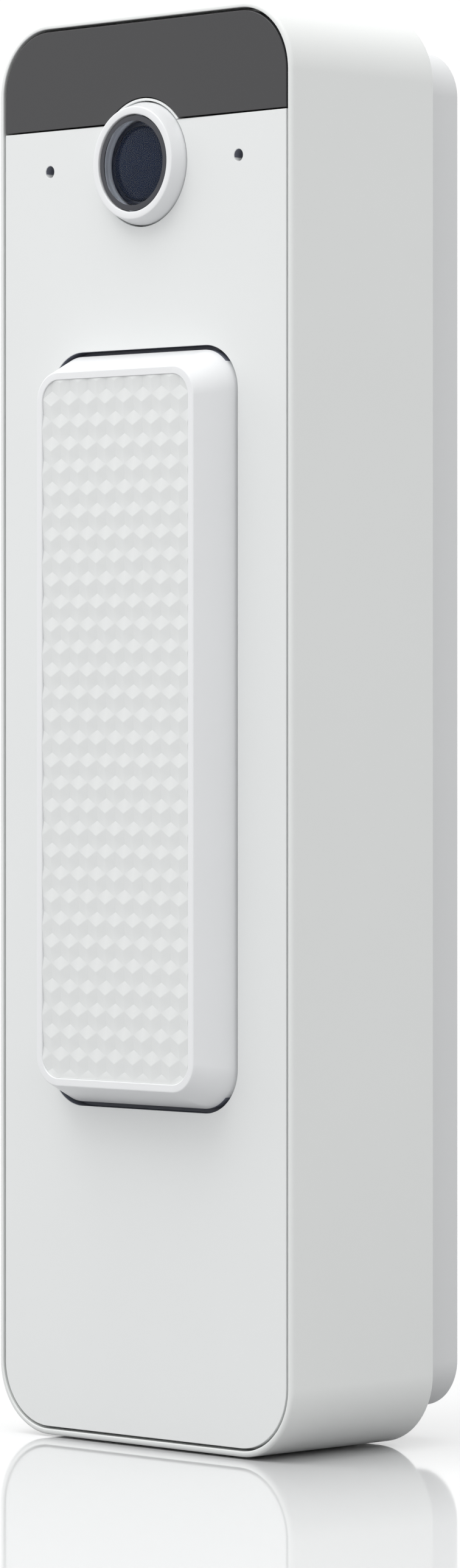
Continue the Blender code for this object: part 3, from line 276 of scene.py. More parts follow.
def lofted(name, sections, z, x=0.0, closed=False, steps=CORNER_STEPS):
    """A shape through rounded oblongs, each given by its width, height, corner and depth."""
    width, height, corner, y = sections[0]
    bpy.ops.object.select_all(action="DESELECT")
    bpy.ops.mesh.primitive_plane_add(size=1.0, location=(x, y, z), rotation=(math.pi / 2, 0, 0))
    piece = started(name)
    open_mesh(piece)
    bpy.ops.mesh.select_mode(type="VERT")
    bpy.ops.mesh.select_all(action="SELECT")
    bpy.ops.transform.resize(value=(width, 1, height), center_override=(x, y, z))
    bevel_picked(corner, steps, "VERTICES")
    bpy.ops.mesh.select_mode(type="EDGE")
    bpy.ops.mesh.select_all(action="SELECT")
    bpy.ops.mesh.delete(type="ONLY_FACE")
    bpy.ops.mesh.select_all(action="SELECT")
    for following in sections[1:] + ([sections[0]] if closed else []):
        next_width, next_height, next_corner, next_y = following
        bpy.ops.mesh.extrude_region_move(TRANSFORM_OT_translate={"value": (0, next_y - y, 0)})
        ring = picked_points(piece)
        share = next_corner / corner
        for side in (-1, 1):
            for end in (-1, 1):
                pick(
                    piece,
                    "VERT",
                    lambda point: point.index in ring
                    and (point.co.x - x) * side > 0
                    and (point.co.z - z) * end > 0,
                )
                hub = (x + side * (width / 2 - corner), next_y, z + end * (height / 2 - corner))
                bpy.ops.transform.resize(value=(share, 1, share), center_override=hub)
                out = (next_width / 2 - next_corner) - (width / 2 - corner)
                up = (next_height / 2 - next_corner) - (height / 2 - corner)
                bpy.ops.transform.translate(value=(side * out, 0, end * up))
        pick(piece, "VERT", lambda point: point.index in ring)
        bpy.ops.mesh.select_mode(type="EDGE")
        width, height, corner, y = following
    if not closed:
        fill_ends(piece, sections[0][3], sections[-1][3])
    close_mesh()
    return tidy(piece)


def followed(width, height, corner, profile, closed=False):
    """Sections that follow one outline, each this far inside it and at this depth."""
    return [
        (width - 2 * inset, height - 2 * inset, corner - inset, y)
        for inset, y in eased(profile, closed, width)
    ]


# Effects that the finishes share


def effect(name, inputs, outputs):
    tree = bpy.data.node_groups.new(name, "ShaderNodeTree")
    for label, kind, value in inputs:
        socket = tree.interface.new_socket(name=label, in_out="INPUT", socket_type=kind)
        socket.default_value = value
    for label, kind in outputs:
        tree.interface.new_socket(name=label, in_out="OUTPUT", socket_type=kind)
    return tree


def add(tree, kind, **settings):
    node = tree.nodes.new("ShaderNode" + kind)
    for setting, value in settings.items():
        setattr(node, setting, value)
    return node


def number(tree, operation, first, second):
    """A Math node. Each side is a number or a socket."""
    node = add(tree, "Math", operation=operation)
    for slot, value in enumerate((first, second)):
        if isinstance(value, (int, float)):
            node.inputs[slot].default_value = value
        else:
            tree.links.new(value, node.inputs[slot])
    return node.outputs[0]


def place_of(tree):
    return add(tree, "TexCoord").outputs["Object"]


def noise(tree, place, scale, detail=2.0):
    node = add(tree, "TexNoise")
    node.inputs["Detail"].default_value = detail
    tree.links.new(place, node.inputs["Vector"])
    tree.links.new(scale, node.inputs["Scale"])
    return node.outputs["Fac"]


def swing(tree, source, amount):
    """The pattern's distance from its middle, times an amount."""
    return number(tree, "MULTIPLY", number(tree, "SUBTRACT", source, 0.5), amount)


def scaled_colour(tree, colour, share):
    node = add(tree, "VectorMath", operation="SCALE")
    tree.links.new(colour, node.inputs["Vector"])
    tree.links.new(share, node.inputs["Scale"])
    return node.outputs["Vector"]


def blend_colours(tree, mask, first, second):
    node = add(tree, "Mix", data_type="RGBA")
    for label, value in (("Factor", mask), ("A", first), ("B", second)):
        sockets = [each for each in node.inputs if each.name == label and each.enabled]
        tree.links.new(value, sockets[0])
    return [each for each in node.outputs if each.enabled][0]


COLOUR, VALUE = "NodeSocketColor", "NodeSocketFloat"


def make_uneven_tone():
    """A colour that drifts a little lighter and darker from place to place."""
    tree = effect(
        "uneven_tone",
        [("Colour", COLOUR, (0.8, 0.8, 0.8, 1)), ("Scale", VALUE, 60.0), ("Amount", VALUE, 0.03)],
        [("Colour", COLOUR)],
    )
    given, made = add_ends(tree)
    pattern = noise(tree, place_of(tree), given.outputs["Scale"], 3.0)
    share = number(tree, "ADD", swing(tree, pattern, given.outputs["Amount"]), 1.0)
    tree.links.new(scaled_colour(tree, given.outputs["Colour"], share), made.inputs["Colour"])
    return tree


def add_ends(tree):
    return tree.nodes.new("NodeGroupInput"), tree.nodes.new("NodeGroupOutput")


def make_handled_gloss():
    """A roughness that drifts, as on a surface that has been wiped and handled."""
    tree = effect(
        "handled_gloss",
        [("Roughness", VALUE, 0.4), ("Scale", VALUE, 90.0), ("Amount", VALUE, 0.1)],
        [("Roughness", VALUE)],
    )
    given, made = add_ends(tree)
    pattern = noise(tree, place_of(tree), given.outputs["Scale"], 4.0)
    drift = swing(tree, pattern, given.outputs["Amount"])
    tree.links.new(number(tree, "ADD", given.outputs["Roughness"], drift), made.inputs["Roughness"])
    return tree


def make_moulded_grain():
    """The fine, soft grain of a spark-etched mould."""
    tree = effect("moulded_grain", [("Scale", VALUE, 5000.0)], [("Height", VALUE)])
    given, made = add_ends(tree)
    tree.links.new(noise(tree, place_of(tree), given.outputs["Scale"], 3.0), made.inputs["Height"])
    return tree


def make_drawn_lines():
    """Fine lines along one direction, as on drawn or brushed metal."""
    tree = effect(
        "drawn_lines",
        [("Scale", VALUE, 3000.0), ("Stretch", VALUE, 0.03)],
        [("Height", VALUE), ("Mask", VALUE)],
    )
    given, made = add_ends(tree)
    parts = add(tree, "SeparateXYZ")
    tree.links.new(place_of(tree), parts.inputs[0])
    back = add(tree, "CombineXYZ")
    tree.links.new(parts.outputs["X"], back.inputs["X"])
    tree.links.new(parts.outputs["Y"], back.inputs["Y"])
    stretched = number(tree, "MULTIPLY", parts.outputs["Z"], given.outputs["Stretch"])
    tree.links.new(stretched, back.inputs["Z"])
    lines = noise(tree, back.outputs[0], given.outputs["Scale"], 2.0)
    tree.links.new(lines, made.inputs["Height"])
    tree.links.new(lines, made.inputs["Mask"])
    return tree


def make_board_layout():
    """Solder mask over copper tracks, with bare pads."""
    tree = effect(
        "board_layout",
        [
            ("Mask colour", COLOUR, (0.01, 0.12, 0.05, 1)),
            ("Track colour", COLOUR, (0.02, 0.22, 0.09, 1)),
            ("Pad colour", COLOUR, (0.75, 0.62, 0.35, 1)),
            ("Scale", VALUE, 1.0),
        ],
        [("Colour", COLOUR), ("Metallic", VALUE), ("Height", VALUE)],
    )
    given, made = add_ends(tree)
    parts = add(tree, "SeparateXYZ")
    tree.links.new(place_of(tree), parts.inputs[0])
    flat = add(tree, "CombineXYZ")
    tree.links.new(parts.outputs["X"], flat.inputs["X"])
    tree.links.new(parts.outputs["Z"], flat.inputs["Y"])
    tracks = add(tree, "TexBrick", offset=0.5)
    tracks.inputs["Color1"].default_value = (0, 0, 0, 1)
    tracks.inputs["Color2"].default_value = (0, 0, 0, 1)
    tracks.inputs["Mortar"].default_value = (1, 1, 1, 1)
    tracks.inputs["Mortar Size"].default_value = 0.00018
    tracks.inputs["Brick Width"].default_value = 0.0042
    tracks.inputs["Row Height"].default_value = 0.0013
    tree.links.new(flat.outputs[0], tracks.inputs["Vector"])
    tree.links.new(given.outputs["Scale"], tracks.inputs["Scale"])
    pads = add(tree, "TexVoronoi", voronoi_dimensions="2D", distance="CHEBYCHEV")
    pads.inputs["Scale"].default_value = 420.0
    pads.inputs["Randomness"].default_value = 0.75
    tree.links.new(flat.outputs[0], pads.inputs["Vector"])
    bare = number(tree, "LESS_THAN", pads.outputs["Distance"], 0.14)
    masked = blend_colours(
        tree, tracks.outputs["Fac"], given.outputs["Mask colour"], given.outputs["Track colour"]
    )
    padded = blend_colours(tree, bare, masked, given.outputs["Pad colour"])
    tree.links.new(padded, made.inputs["Colour"])
    tree.links.new(bare, made.inputs["Metallic"])
    raised = number(tree, "MAXIMUM", tracks.outputs["Fac"], bare)
    tree.links.new(raised, made.inputs["Height"])
    return tree


UNEVEN_TONE = make_uneven_tone()
HANDLED_GLOSS = make_handled_gloss()
MOULDED_GRAIN = make_moulded_grain()
DRAWN_LINES = make_drawn_lines()
BOARD_LAYOUT = make_board_layout()


# Finishes


def with_group(tree, group, **values):
    node = add(tree, "Group")
    node.node_tree = group
    for label, value in values.items():
        node.inputs[label.replace("_", " ")].default_value = value
    return node


def finish(name, colour, roughness, drift=0.06, tone=0.03, metallic=0.0, **sockets):
    """A material with a drifting tone and gloss. Returns the material."""
    material = bpy.data.materials.new(name)
    material.use_nodes = True
    tree = material.node_tree
    shader = tree.nodes["Principled BSDF"]
    shader.inputs["Metallic"].default_value = metallic
    for label, value in sockets.items():
        shader.inputs[label.replace("_", " ")].default_value = value
    shade = with_group(tree, UNEVEN_TONE, Colour=(*colour, 1), Scale=70.0, Amount=tone)
    tree.links.new(shade.outputs["Colour"], shader.inputs["Base Color"])
    gloss = with_group(tree, HANDLED_GLOSS, Roughness=roughness, Scale=110.0, Amount=drift)
    tree.links.new(gloss.outputs["Roughness"], shader.inputs["Roughness"])
    return material


def bump(material, group, distance, strength=0.5, **values):
    tree = material.node_tree
    relief = add(tree, "Bump")
    relief.inputs["Strength"].default_value = strength
    relief.inputs["Distance"].default_value = distance
    tree.links.new(with_group(tree, group, **values).outputs["Height"], relief.inputs["Height"])
    tree.links.new(relief.outputs["Normal"], tree.nodes["Principled BSDF"].inputs["Normal"])
    return material


def moulded(name, colour, roughness, grain=5200.0, depth=0.000004, **more):
    return bump(finish(name, colour, roughness, **more), MOULDED_GRAIN, depth, Scale=grain)


def metal(name, colour, roughness, scale=3500.0, **more):
    made = finish(name, colour, roughness, metallic=1.0, **more)
    return bump(made, DRAWN_LINES, 0.000003, Scale=scale)


def board_finish(name):
    material = finish(name, (0.01, 0.12, 0.05), 0.38)
    tree = material.node_tree
    shader = tree.nodes["Principled BSDF"]
    layout = with_group(tree, BOARD_LAYOUT)
    tree.links.new(layout.outputs["Colour"], shader.inputs["Base Color"])
    tree.links.new(layout.outputs["Metallic"], shader.inputs["Metallic"])
    relief = add(tree, "Bump")
    relief.inputs["Distance"].default_value = 0.00004
    tree.links.new(layout.outputs["Height"], relief.inputs["Height"])
    tree.links.new(relief.outputs["Normal"], shader.inputs["Normal"])
    return material


FINISHES = {
    "shell_white": moulded("shell_white", (0.785, 0.80, 0.79), 0.40, grain=4200.0),
    "bracket_white": moulded("bracket_white", (0.70, 0.71, 0.715), 0.46, grain=3600.0),
    "plate_white": moulded("plate_white", (0.795, 0.81, 0.807), 0.46, grain=5200.0),
    "relief_white": moulded("relief_white", (0.76, 0.775, 0.77), 0.34, grain=6500.0),
    "gloss_white": moulded("gloss_white", (0.83, 0.84, 0.85), 0.32, grain=7000.0, depth=0.000002),
    "cover_white": moulded("cover_white", (0.66, 0.67, 0.675), 0.52, grain=3200.0),
    "window_dark": moulded(
        "window_dark", (0.038, 0.038, 0.0405), 0.30, grain=9000.0, depth=0.000001, tone=0.05
    ),
    "black_plastic": moulded("black_plastic", (0.018, 0.018, 0.020), 0.44, grain=4500.0),
    "mask_grey": moulded(
        "mask_grey", (0.036, 0.038, 0.048), 0.30, grain=9000.0, depth=0.000001, tone=0.05
    ),
    # Painted shade: a dark grey put on the shaded walls of the button's pocket, the keycap's sides
    # and the microphone holes.
    "gap_shade_grey": moulded("gap_shade_grey", (0.17, 0.18, 0.22), 0.50, grain=4500.0),
    "rubber": moulded("rubber", (0.028, 0.028, 0.030), 0.74, grain=2600.0, depth=0.000012),
    "circuit_board": board_finish("circuit_board"),
    "steel": metal("steel", (0.60, 0.60, 0.585), 0.30),
    "aluminium": metal("aluminium", (0.56, 0.57, 0.58), 0.42, scale=2200.0),
    "contact_gold": metal("contact_gold", (0.74, 0.55, 0.24), 0.33),
    "guide_white": moulded("guide_white", (0.80, 0.82, 0.84), 0.30, Subsurface_Weight=0.15),
    "lens_black": moulded("lens_black", (0.016, 0.021, 0.036), 0.30, grain=9000.0, depth=0.000001),
    "cover_glass": finish(
        "cover_glass",
        (0.90, 0.93, 0.99),
        0.02,
        drift=0.01,
        tone=0.01,
        Transmission_Weight=1.0,
        IOR=1.12,
    ),
    "lens_glass": finish(
        "lens_glass", (0.009, 0.015, 0.032), 0.06, drift=0.02, tone=0.2, IOR=1.22
    ),
}


def place_piece(piece, finish_name, slot, body, *nodes, angle=40):
    """Smooths a finished piece, and lets it ride on its body in place of its plain parts."""
    piece.data.materials.clear()
    piece.data.materials.append(FINISHES[finish_name])
    only(piece)
    bpy.ops.object.shade_smooth_by_angle(angle=math.radians(angle))
    apply(piece, "WEIGHTED_NORMAL", keep_sharp=True, weight=50)
    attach(piece, body)
    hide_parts(*nodes)
    return piece


def print_or_shade_faces(piece, finish_name, wanted):
    """Gives the faces that pass a test a second finish: the glass's printed mask, and painted shade
    in gaps and holes.
    """
    piece.data.materials.append(FINISHES[finish_name])
    for face in piece.data.polygons:
        if wanted(face):
            face.material_index = 1


# Housing

shell_low, shell_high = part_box("housing")
plate_low, plate_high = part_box("front_plate")
gasket_low, gasket_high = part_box("plate_gasket")
middle_z = (shell_low.z + shell_high.z) / 2
shell_width = shell_high.x - shell_low.x
shell_height = shell_high.z - shell_low.z
SHELL_CORNER = 0.0070
RIM = 0.00058
SHELF_INSET = 0.0034
SHELF_FRONT = gasket_high.y + 0.0002
SHELF_BACK = SHELF_FRONT + 0.0017
WALL = 0.0026
REAR_LEDGE = 0.0012


def make_shell():
    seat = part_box("rear_gasket")[0].y - 0.0002
    shell = lofted(
        "housing_shell",
        followed(
            shell_width,
            shell_height,
            SHELL_CORNER,
            [
                (RIM, shell_low.y, 0.00009),
                (0.0, shell_low.y, 0.00037),
                (0.0, shell_high.y, 0.00037),
                (REAR_LEDGE, shell_high.y, 0.0),
                (REAR_LEDGE, seat, 0.0),
                (WALL, seat, 0.0),
                (WALL, SHELF_BACK, 0.0),
                (SHELF_INSET, SHELF_BACK, 0.0),
                (SHELF_INSET, SHELF_FRONT, 0.0),
                (RIM, SHELF_FRONT, 0.0),
            ],
            closed=True,
        ),
        middle_z,
        closed=True,
    )
    for count in range(1, 5):
        screw_low, screw_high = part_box(f"cover_screw_{count}")
        x = (screw_low.x + screw_high.x) / 2
        z = (screw_low.z + screw_high.z) / 2
        join(shell, disc("boss", 0.0026, seat - 0.0056, seat - 0.00002, x, z))
        cut(shell, disc("boss_hole", 0.00115, seat - 0.0048, seat + PAST, x, z))
    mesh_low, mesh_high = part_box("outlet_mesh")
    outlet_y = (mesh_low.y + mesh_high.y) / 2
    past_wall = shell_low.z + WALL + PAST
    for count in range(-2, 3):
        x = count * 0.0034
        for y in (outlet_y - 0.0023, outlet_y + 0.0023):
            cut(shell, post("outlet_end", 0.0007, shell_low.z - PAST, past_wall, x, y))
        low = (x - 0.0007, outlet_y - 0.0023, shell_low.z - PAST)
        cut(shell, block("outlet_middle", low, (x + 0.0007, outlet_y + 0.0023, past_wall)))
    return place_piece(shell, "shell_white", "shell_white", "main_body", "housing")


make_shell()


# Front plate, its window, and the camera's ring

ring_low, ring_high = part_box("lens_ring")
lens_z = (ring_low.z + ring_high.z) / 2
window_low, window_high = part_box("sensor_window")
PLATE_INSET = shell_high.x - plate_high.x
PLATE_CORNER = SHELL_CORNER - PLATE_INSET
POCKET_WIDTH = 0.0262
POCKET_HEIGHT = 0.0743
POCKET_CORNER = 0.0045
RING_HOLE = 0.00615
COLLAR = 0.0064
MIC_X = 0.0132
MIC_RADIUS = 0.0006
SHADED_CORNER_SHARE = 0.35


def plate_block(name, front, back, round_over):
    return lofted(
        name,
        followed(
            shell_width - 2 * PLATE_INSET,
            shell_height - 2 * PLATE_INSET,
            PLATE_CORNER,
            [(0.0, front, round_over), (0.0, back, 0.0)],
        ),
        middle_z,
    )


def shaded_pocket_ends(place):
    """Whether a place is at the top or the foot of the button's pocket, where its gap is painted in
    shade.
    """
    return abs(place.z - middle_z) > POCKET_HEIGHT / 2 - POCKET_CORNER * SHADED_CORNER_SHARE


def make_plate():
    front, back = plate_low.y, plate_high.y
    plate = plate_block("plate", front, back, 0.00006)
    edge = window_low.z - 0.00015
    far = shell_width
    room_high = (far, back + PAST, shell_high.z + PAST)
    cut(plate, block("window_room", (-far, front - PAST, edge), room_high))
    join(plate, disc("collar", COLLAR, front, back, 0, lens_z, ROUND_STEPS))
    pocket = [(POCKET_WIDTH, POCKET_HEIGHT, POCKET_CORNER, y) for y in (front - PAST, back + PAST)]
    cut(plate, disc("ring_hole", RING_HOLE, front - PAST, back + PAST, 0, lens_z, ROUND_STEPS))
    cut(plate, lofted("pocket", pocket, middle_z))
    for x in (-MIC_X, MIC_X):
        cut(plate, disc("mic_hole", MIC_RADIUS, front - PAST, back + PAST, x, lens_z))
    ease_rims(plate, front, 0.00007)
    place_piece(plate, "plate_white", "plate_white", "main_body", "front_plate")
    half_width = POCKET_WIDTH / 2 + SAME_PLACE
    half_height = POCKET_HEIGHT / 2 + SAME_PLACE

    # Painted shade: the pocket's walls at its top and foot, and the microphone holes' walls, take a
    # dark grey where shade falls in them.
    def painted_shade_at(face):
        place = face.center
        from_hole = math.hypot(abs(place.x) - MIC_X, place.z - lens_z)
        in_hole = from_hole < MIC_RADIUS + 0.0001 and place.z > lens_z - 0.0002
        in_pocket = abs(place.x) < half_width and abs(place.z - middle_z) < half_height
        return place.y > front + 0.0001 and (in_hole or (in_pocket and shaded_pocket_ends(place)))

    print_or_shade_faces(plate, "gap_shade_grey", painted_shade_at)


def make_window():
    front, back = window_low.y, window_high.y
    window = plate_block("window", front, back, 0.0001)
    far = shell_width
    cut(window, block("below", (-far, front - PAST, -PAST), (far, back + PAST, window_low.z)))
    cut(window, disc("notch", COLLAR + 0.0001, front - PAST, back + PAST, 0, lens_z, ROUND_STEPS))
    ease_rims(window, front, 0.00005)
    return place_piece(window, "window_dark", "window_dark", "main_body", "sensor_window")


def make_ring():
    flange = (ring_high.x - ring_low.x) / 2
    base, front, bore, seat = 0.0060, 0.0055, 0.00477, 0.00437
    glass_low, glass_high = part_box("lens_cover")
    seat_y = glass_high.y + 0.0002
    flange_y = ring_high.y - 0.0006
    ring = turned(
        "camera_ring",
        [
            (bore, ring_low.y, 0.00008),
            (front, ring_low.y, 0.00014),
            (base, plate_low.y, 0.0),
            (base, flange_y, 0.0),
            (flange, flange_y, 0.0),
            (flange, ring_high.y, 0.0),
            (seat, ring_high.y, 0.0),
            (seat, seat_y, 0.0),
            (bore, seat_y, 0.0),
        ],
        0,
        lens_z,
        closed=True,
    )
    place_piece(ring, "gloss_white", "gloss_white", "main_body", "lens_ring")
    glass_radius = (glass_high.x - glass_low.x) / 2
    mask_radius = glass_radius - 0.00055
    glass = turned(
        "camera_glass",
        [
            (mask_radius, glass_low.y, 0.0),
            (glass_radius, glass_low.y, 0.00012),
            (glass_radius, glass_high.y, 0.0),
        ],
        0,
        lens_z,
    )
    place_piece(glass, "cover_glass", "lens_glass", "main_body", "lens_cover")
    axis = Vector((0, 0, lens_z))

    def from_axis(face):
        across = face.center - axis
        return math.hypot(across.x, across.z)

    print_or_shade_faces(glass, "mask_grey", lambda face: from_axis(face) > mask_radius)


def make_lens():
    barrel_low, barrel_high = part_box("lens_barrel")
    radius = (barrel_high.x - barrel_low.x) / 2
    element_low, element_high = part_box("lens_element")
    lens_radius = (element_high.x - element_low.x) / 2
    mouth = barrel_low.y + 0.0020
    floor = element_high.y + 0.0002
    mouth_radius = lens_radius + 0.0002
    rim_radius = radius - 0.00045
    walls = [(mouth_radius, mouth, 0.0)]
    for step in range(1, 9):
        angle = step / 8 * math.pi / 2
        across = mouth_radius + (rim_radius - mouth_radius) * math.sin(angle)
        walls.append((across, mouth + (barrel_low.y - mouth) * (1 - math.cos(angle)), 0.0))
    barrel = turned(
        "lens_barrel_dished",
        [(mouth_radius, floor, 0.0)]
        + walls
        + [
            (radius, barrel_low.y, 0.0001),
            (radius, barrel_high.y, 0.0),
        ],
        0,
        lens_z,
    )
    place_piece(barrel, "lens_black", "black_plastic", "main_body", "lens_barrel")
    dome = []
    depth = element_high.y - 0.0006 - element_low.y
    for step in range(1, 13):
        angle = step / 12 * math.pi / 2
        y = element_low.y + depth * (1 - math.cos(angle))
        dome.append((lens_radius * math.sin(angle), y, 0.0))
    dome.append((lens_radius, element_high.y, 0.0))
    element = turned("lens_dome", dome, 0, lens_z, steps=64)
    place_piece(element, "lens_glass", "lens_glass", "main_body", "lens_element")
    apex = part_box("lens_cover")[1].y + 0.00008
    sag = barrel_low.y + 0.00005 - apex
    front_glass = []
    for step in range(1, 11):
        angle = step / 10 * math.pi / 2
        front_glass.append((rim_radius * math.sin(angle), apex + sag * (1 - math.cos(angle)), 0.0))
    front_glass.append((rim_radius - 0.0001, barrel_low.y + 0.0003, 0.0))
    outer = turned("lens_front_glass", front_glass, 0, lens_z, steps=96)
    place_piece(outer, "lens_glass", "lens_glass", "main_body")


make_plate()
make_window()
make_ring()
make_lens()


# Button

cap_low, cap_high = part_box("button_cap")
insert_low, insert_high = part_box("button_insert")
guide_low, guide_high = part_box("light_guide")
BASE_WIDTH, BASE_HEIGHT, BASE_CORNER = 0.0253, 0.0734, 0.00405
FACE_WIDTH, FACE_HEIGHT, FACE_CORNER = 0.02194, 0.07004, 0.0029
INSERT_CORNER = 0.0022
CUBE_PITCH = 0.00256
CUBE_EDGE = CUBE_PITCH / math.sqrt(3)
CUBE_RELIEF = 0.00021
FIRST_ROW = 0.00254
SOFT_EDGE = 0.00006
INSERT_GAP = 0.00001


def make_cap():
    face = cap_low.y
    base = plate_low.y
    ease = 0.00018
    flange_front = plate_high.y + 0.0003
    flange_back = flange_front + 0.0008
    insert_width = insert_high.x - insert_low.x
    insert_height = insert_high.z - insert_low.z
    ledge = insert_high.y + 0.0002
    sides = []
    slope = math.atan2((BASE_WIDTH - FACE_WIDTH) / 2, base - face)
    turn = math.pi / 2 - slope
    reach = ease * math.tan(turn / 2)
    for step in range(7):
        angle = turn * step / 6
        inset = reach - ease * math.sin(angle)
        depth = ease * (1 - math.cos(angle))
        outline = (FACE_WIDTH - 2 * inset, FACE_HEIGHT - 2 * inset, FACE_CORNER - inset)
        sides.append((*outline, face + depth))
    width = insert_width + 2 * INSERT_GAP
    height = insert_height + 2 * INSERT_GAP
    corner = INSERT_CORNER + INSERT_GAP
    lip = 0.00006
    opening = (insert_width - 0.0028, insert_height - 0.0028, 0.0008)
    room = (BASE_WIDTH - 0.0031, BASE_HEIGHT - 0.0031, 0.0025)
    skirt = (BASE_WIDTH + 0.0031, BASE_HEIGHT + 0.0031, BASE_CORNER + 0.00155)
    cap = lofted(
        "button_keycap",
        [
            (width, height, corner, ledge),
            (width, height, corner, face + lip),
            (width + 2 * lip, height + 2 * lip, corner + lip, face),
        ]
        + sides
        + [
            (BASE_WIDTH, BASE_HEIGHT, BASE_CORNER, base),
            (BASE_WIDTH, BASE_HEIGHT, BASE_CORNER, flange_front),
            (*skirt, flange_front),
            (*skirt, flange_back),
            (*room, flange_back),
            (*room, guide_low.y - 0.0002),
            (*opening, guide_low.y - 0.0002),
            (*opening, ledge),
        ],
        middle_z,
        closed=True,
    )
    place_piece(cap, "gloss_white", "gloss_white", "push_button", "button_cap")
    # Painted shade: the keycap's sides deep in the pocket, at its top and foot, take a dark grey
    # where the gap lies in shade.
    print_or_shade_faces(
        cap,
        "gap_shade_grey",
        lambda face: face.center.y > base + 0.00025 and shaded_pocket_ends(face.center),
    )


def make_insert():
    """The insert's face is a field of low, three-sided cubes in staggered rows."""
    front, back = insert_low.y, insert_high.y
    width, height = insert_high.x - insert_low.x, insert_high.z - insert_low.z
    row = 1.5 * CUBE_EDGE
    columns = 10
    rows = 17
    first_x = -(columns - 1) / 2 * CUBE_PITCH
    first_z = insert_high.z - FIRST_ROW - 2 * row * (rows - 1)
    bpy.ops.object.select_all(action="DESELECT")
    bpy.ops.mesh.primitive_circle_add(
        vertices=6,
        radius=CUBE_EDGE,
        fill_type="TRIFAN",
        location=(first_x, front, first_z),
        rotation=(math.pi / 2, 0, 0),
    )
    relief = started("insert_relief")
    hub = Vector((first_x, front, first_z))
    open_mesh(relief)

    def corner_of(point, angles):
        spoke = point.co - hub
        if spoke.length < CUBE_EDGE / 2:
            return False
        angle = math.degrees(math.atan2(spoke.z, spoke.x)) % 360
        return any(abs(angle - wanted) < 5 for wanted in angles)

    for angles, drop in (((90, 210, 330), CUBE_RELIEF), ((30, 150, 270), CUBE_RELIEF / 2)):
        pick(relief, "VERT", lambda point: corner_of(point, angles))
        bpy.ops.transform.translate(value=(0, drop, 0))
    bpy.ops.mesh.select_all(action="SELECT")
    bpy.ops.mesh.duplicate_move(TRANSFORM_OT_translate={"value": (CUBE_PITCH / 2, 0, row)})
    close_mesh()
    for count, step in ((columns, (CUBE_PITCH, 0, 0)), (rows, (0, 0, 2 * row))):
        apply(
            relief,
            "ARRAY",
            count=count,
            use_relative_offset=False,
            use_constant_offset=True,
            constant_offset_displace=step,
        )
    open_mesh(relief)
    bpy.ops.mesh.select_all(action="SELECT")
    bpy.ops.mesh.remove_doubles(threshold=0.00002)
    bpy.ops.mesh.dissolve_limited(angle_limit=math.radians(0.5))
    bpy.ops.mesh.select_all(action="SELECT")
    bpy.ops.mesh.normals_make_consistent(inside=False)
    facing = bmesh.from_edit_mesh(relief.data).faces
    facing.ensure_lookup_table()
    if facing[0].normal.y > 0:
        bpy.ops.mesh.flip_normals()
    pick(
        relief,
        "EDGE",
        lambda edge: not edge.is_boundary and edge.is_convex and edge.calc_face_angle(0.0) > 0.05,
    )
    bevel_picked(SOFT_EDGE, 1)
    bpy.ops.mesh.select_all(action="SELECT")
    bpy.ops.mesh.extrude_region_move(TRANSFORM_OT_translate={"value": (0, 0.003, 0)})
    bpy.ops.transform.resize(value=(1, 0, 1), center_override=(0, front + 0.003, middle_z))
    close_mesh()
    tidy(relief)
    insert = lofted(
        "button_insert_relief",
        [(width, height, INSERT_CORNER, y) for y in (front - 0.0002, back)],
        middle_z,
    )
    combine(insert, [relief], "INTERSECT")
    place_piece(insert, "relief_white", "plate_white", "push_button", "button_insert", angle=7)


make_cap()
make_insert()



# Wall bracket

bracket_low, bracket_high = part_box("wall_bracket")
lock_low, lock_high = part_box("lock_screw")
jack_low, jack_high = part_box("ethernet_jack")
jack_z = (jack_low.z + jack_high.z) / 2
cover_low_front = shell_high.y - 0.0018
BRACKET_CORNER = 0.0047
BRACKET_WALL = 0.0016
CABLE_WINDOW = (0.022, 0.026, 0.002)
WALL_SLOT = (0.0042, 0.0090)
SLOT_SINK = (0.0084, 0.0132)
SINK_DEPTH = 0.0004
SLOTS_FROM_MIDDLE = (0.0460, -0.0080)
HOOK_X = 0.008
HOOK_HALF_WIDTH = 0.0025
HOOK_ARM = 0.0012
LOCK_PAD_HALF_WIDTH = 0.0045
LOCK_PASSAGE = 0.0013
HEAD_ROOM = 0.0021
SOCKET_WIDTH = 0.0119
SOCKET_HEIGHT = 0.0084
CONTACT_PITCH = 0.00102
CONTACT_COUNT = 8


def slot_cutter(name, width, length, front, back, z):
    return lofted(name, [(width, length, width * 0.499, y) for y in (front, back)], z)


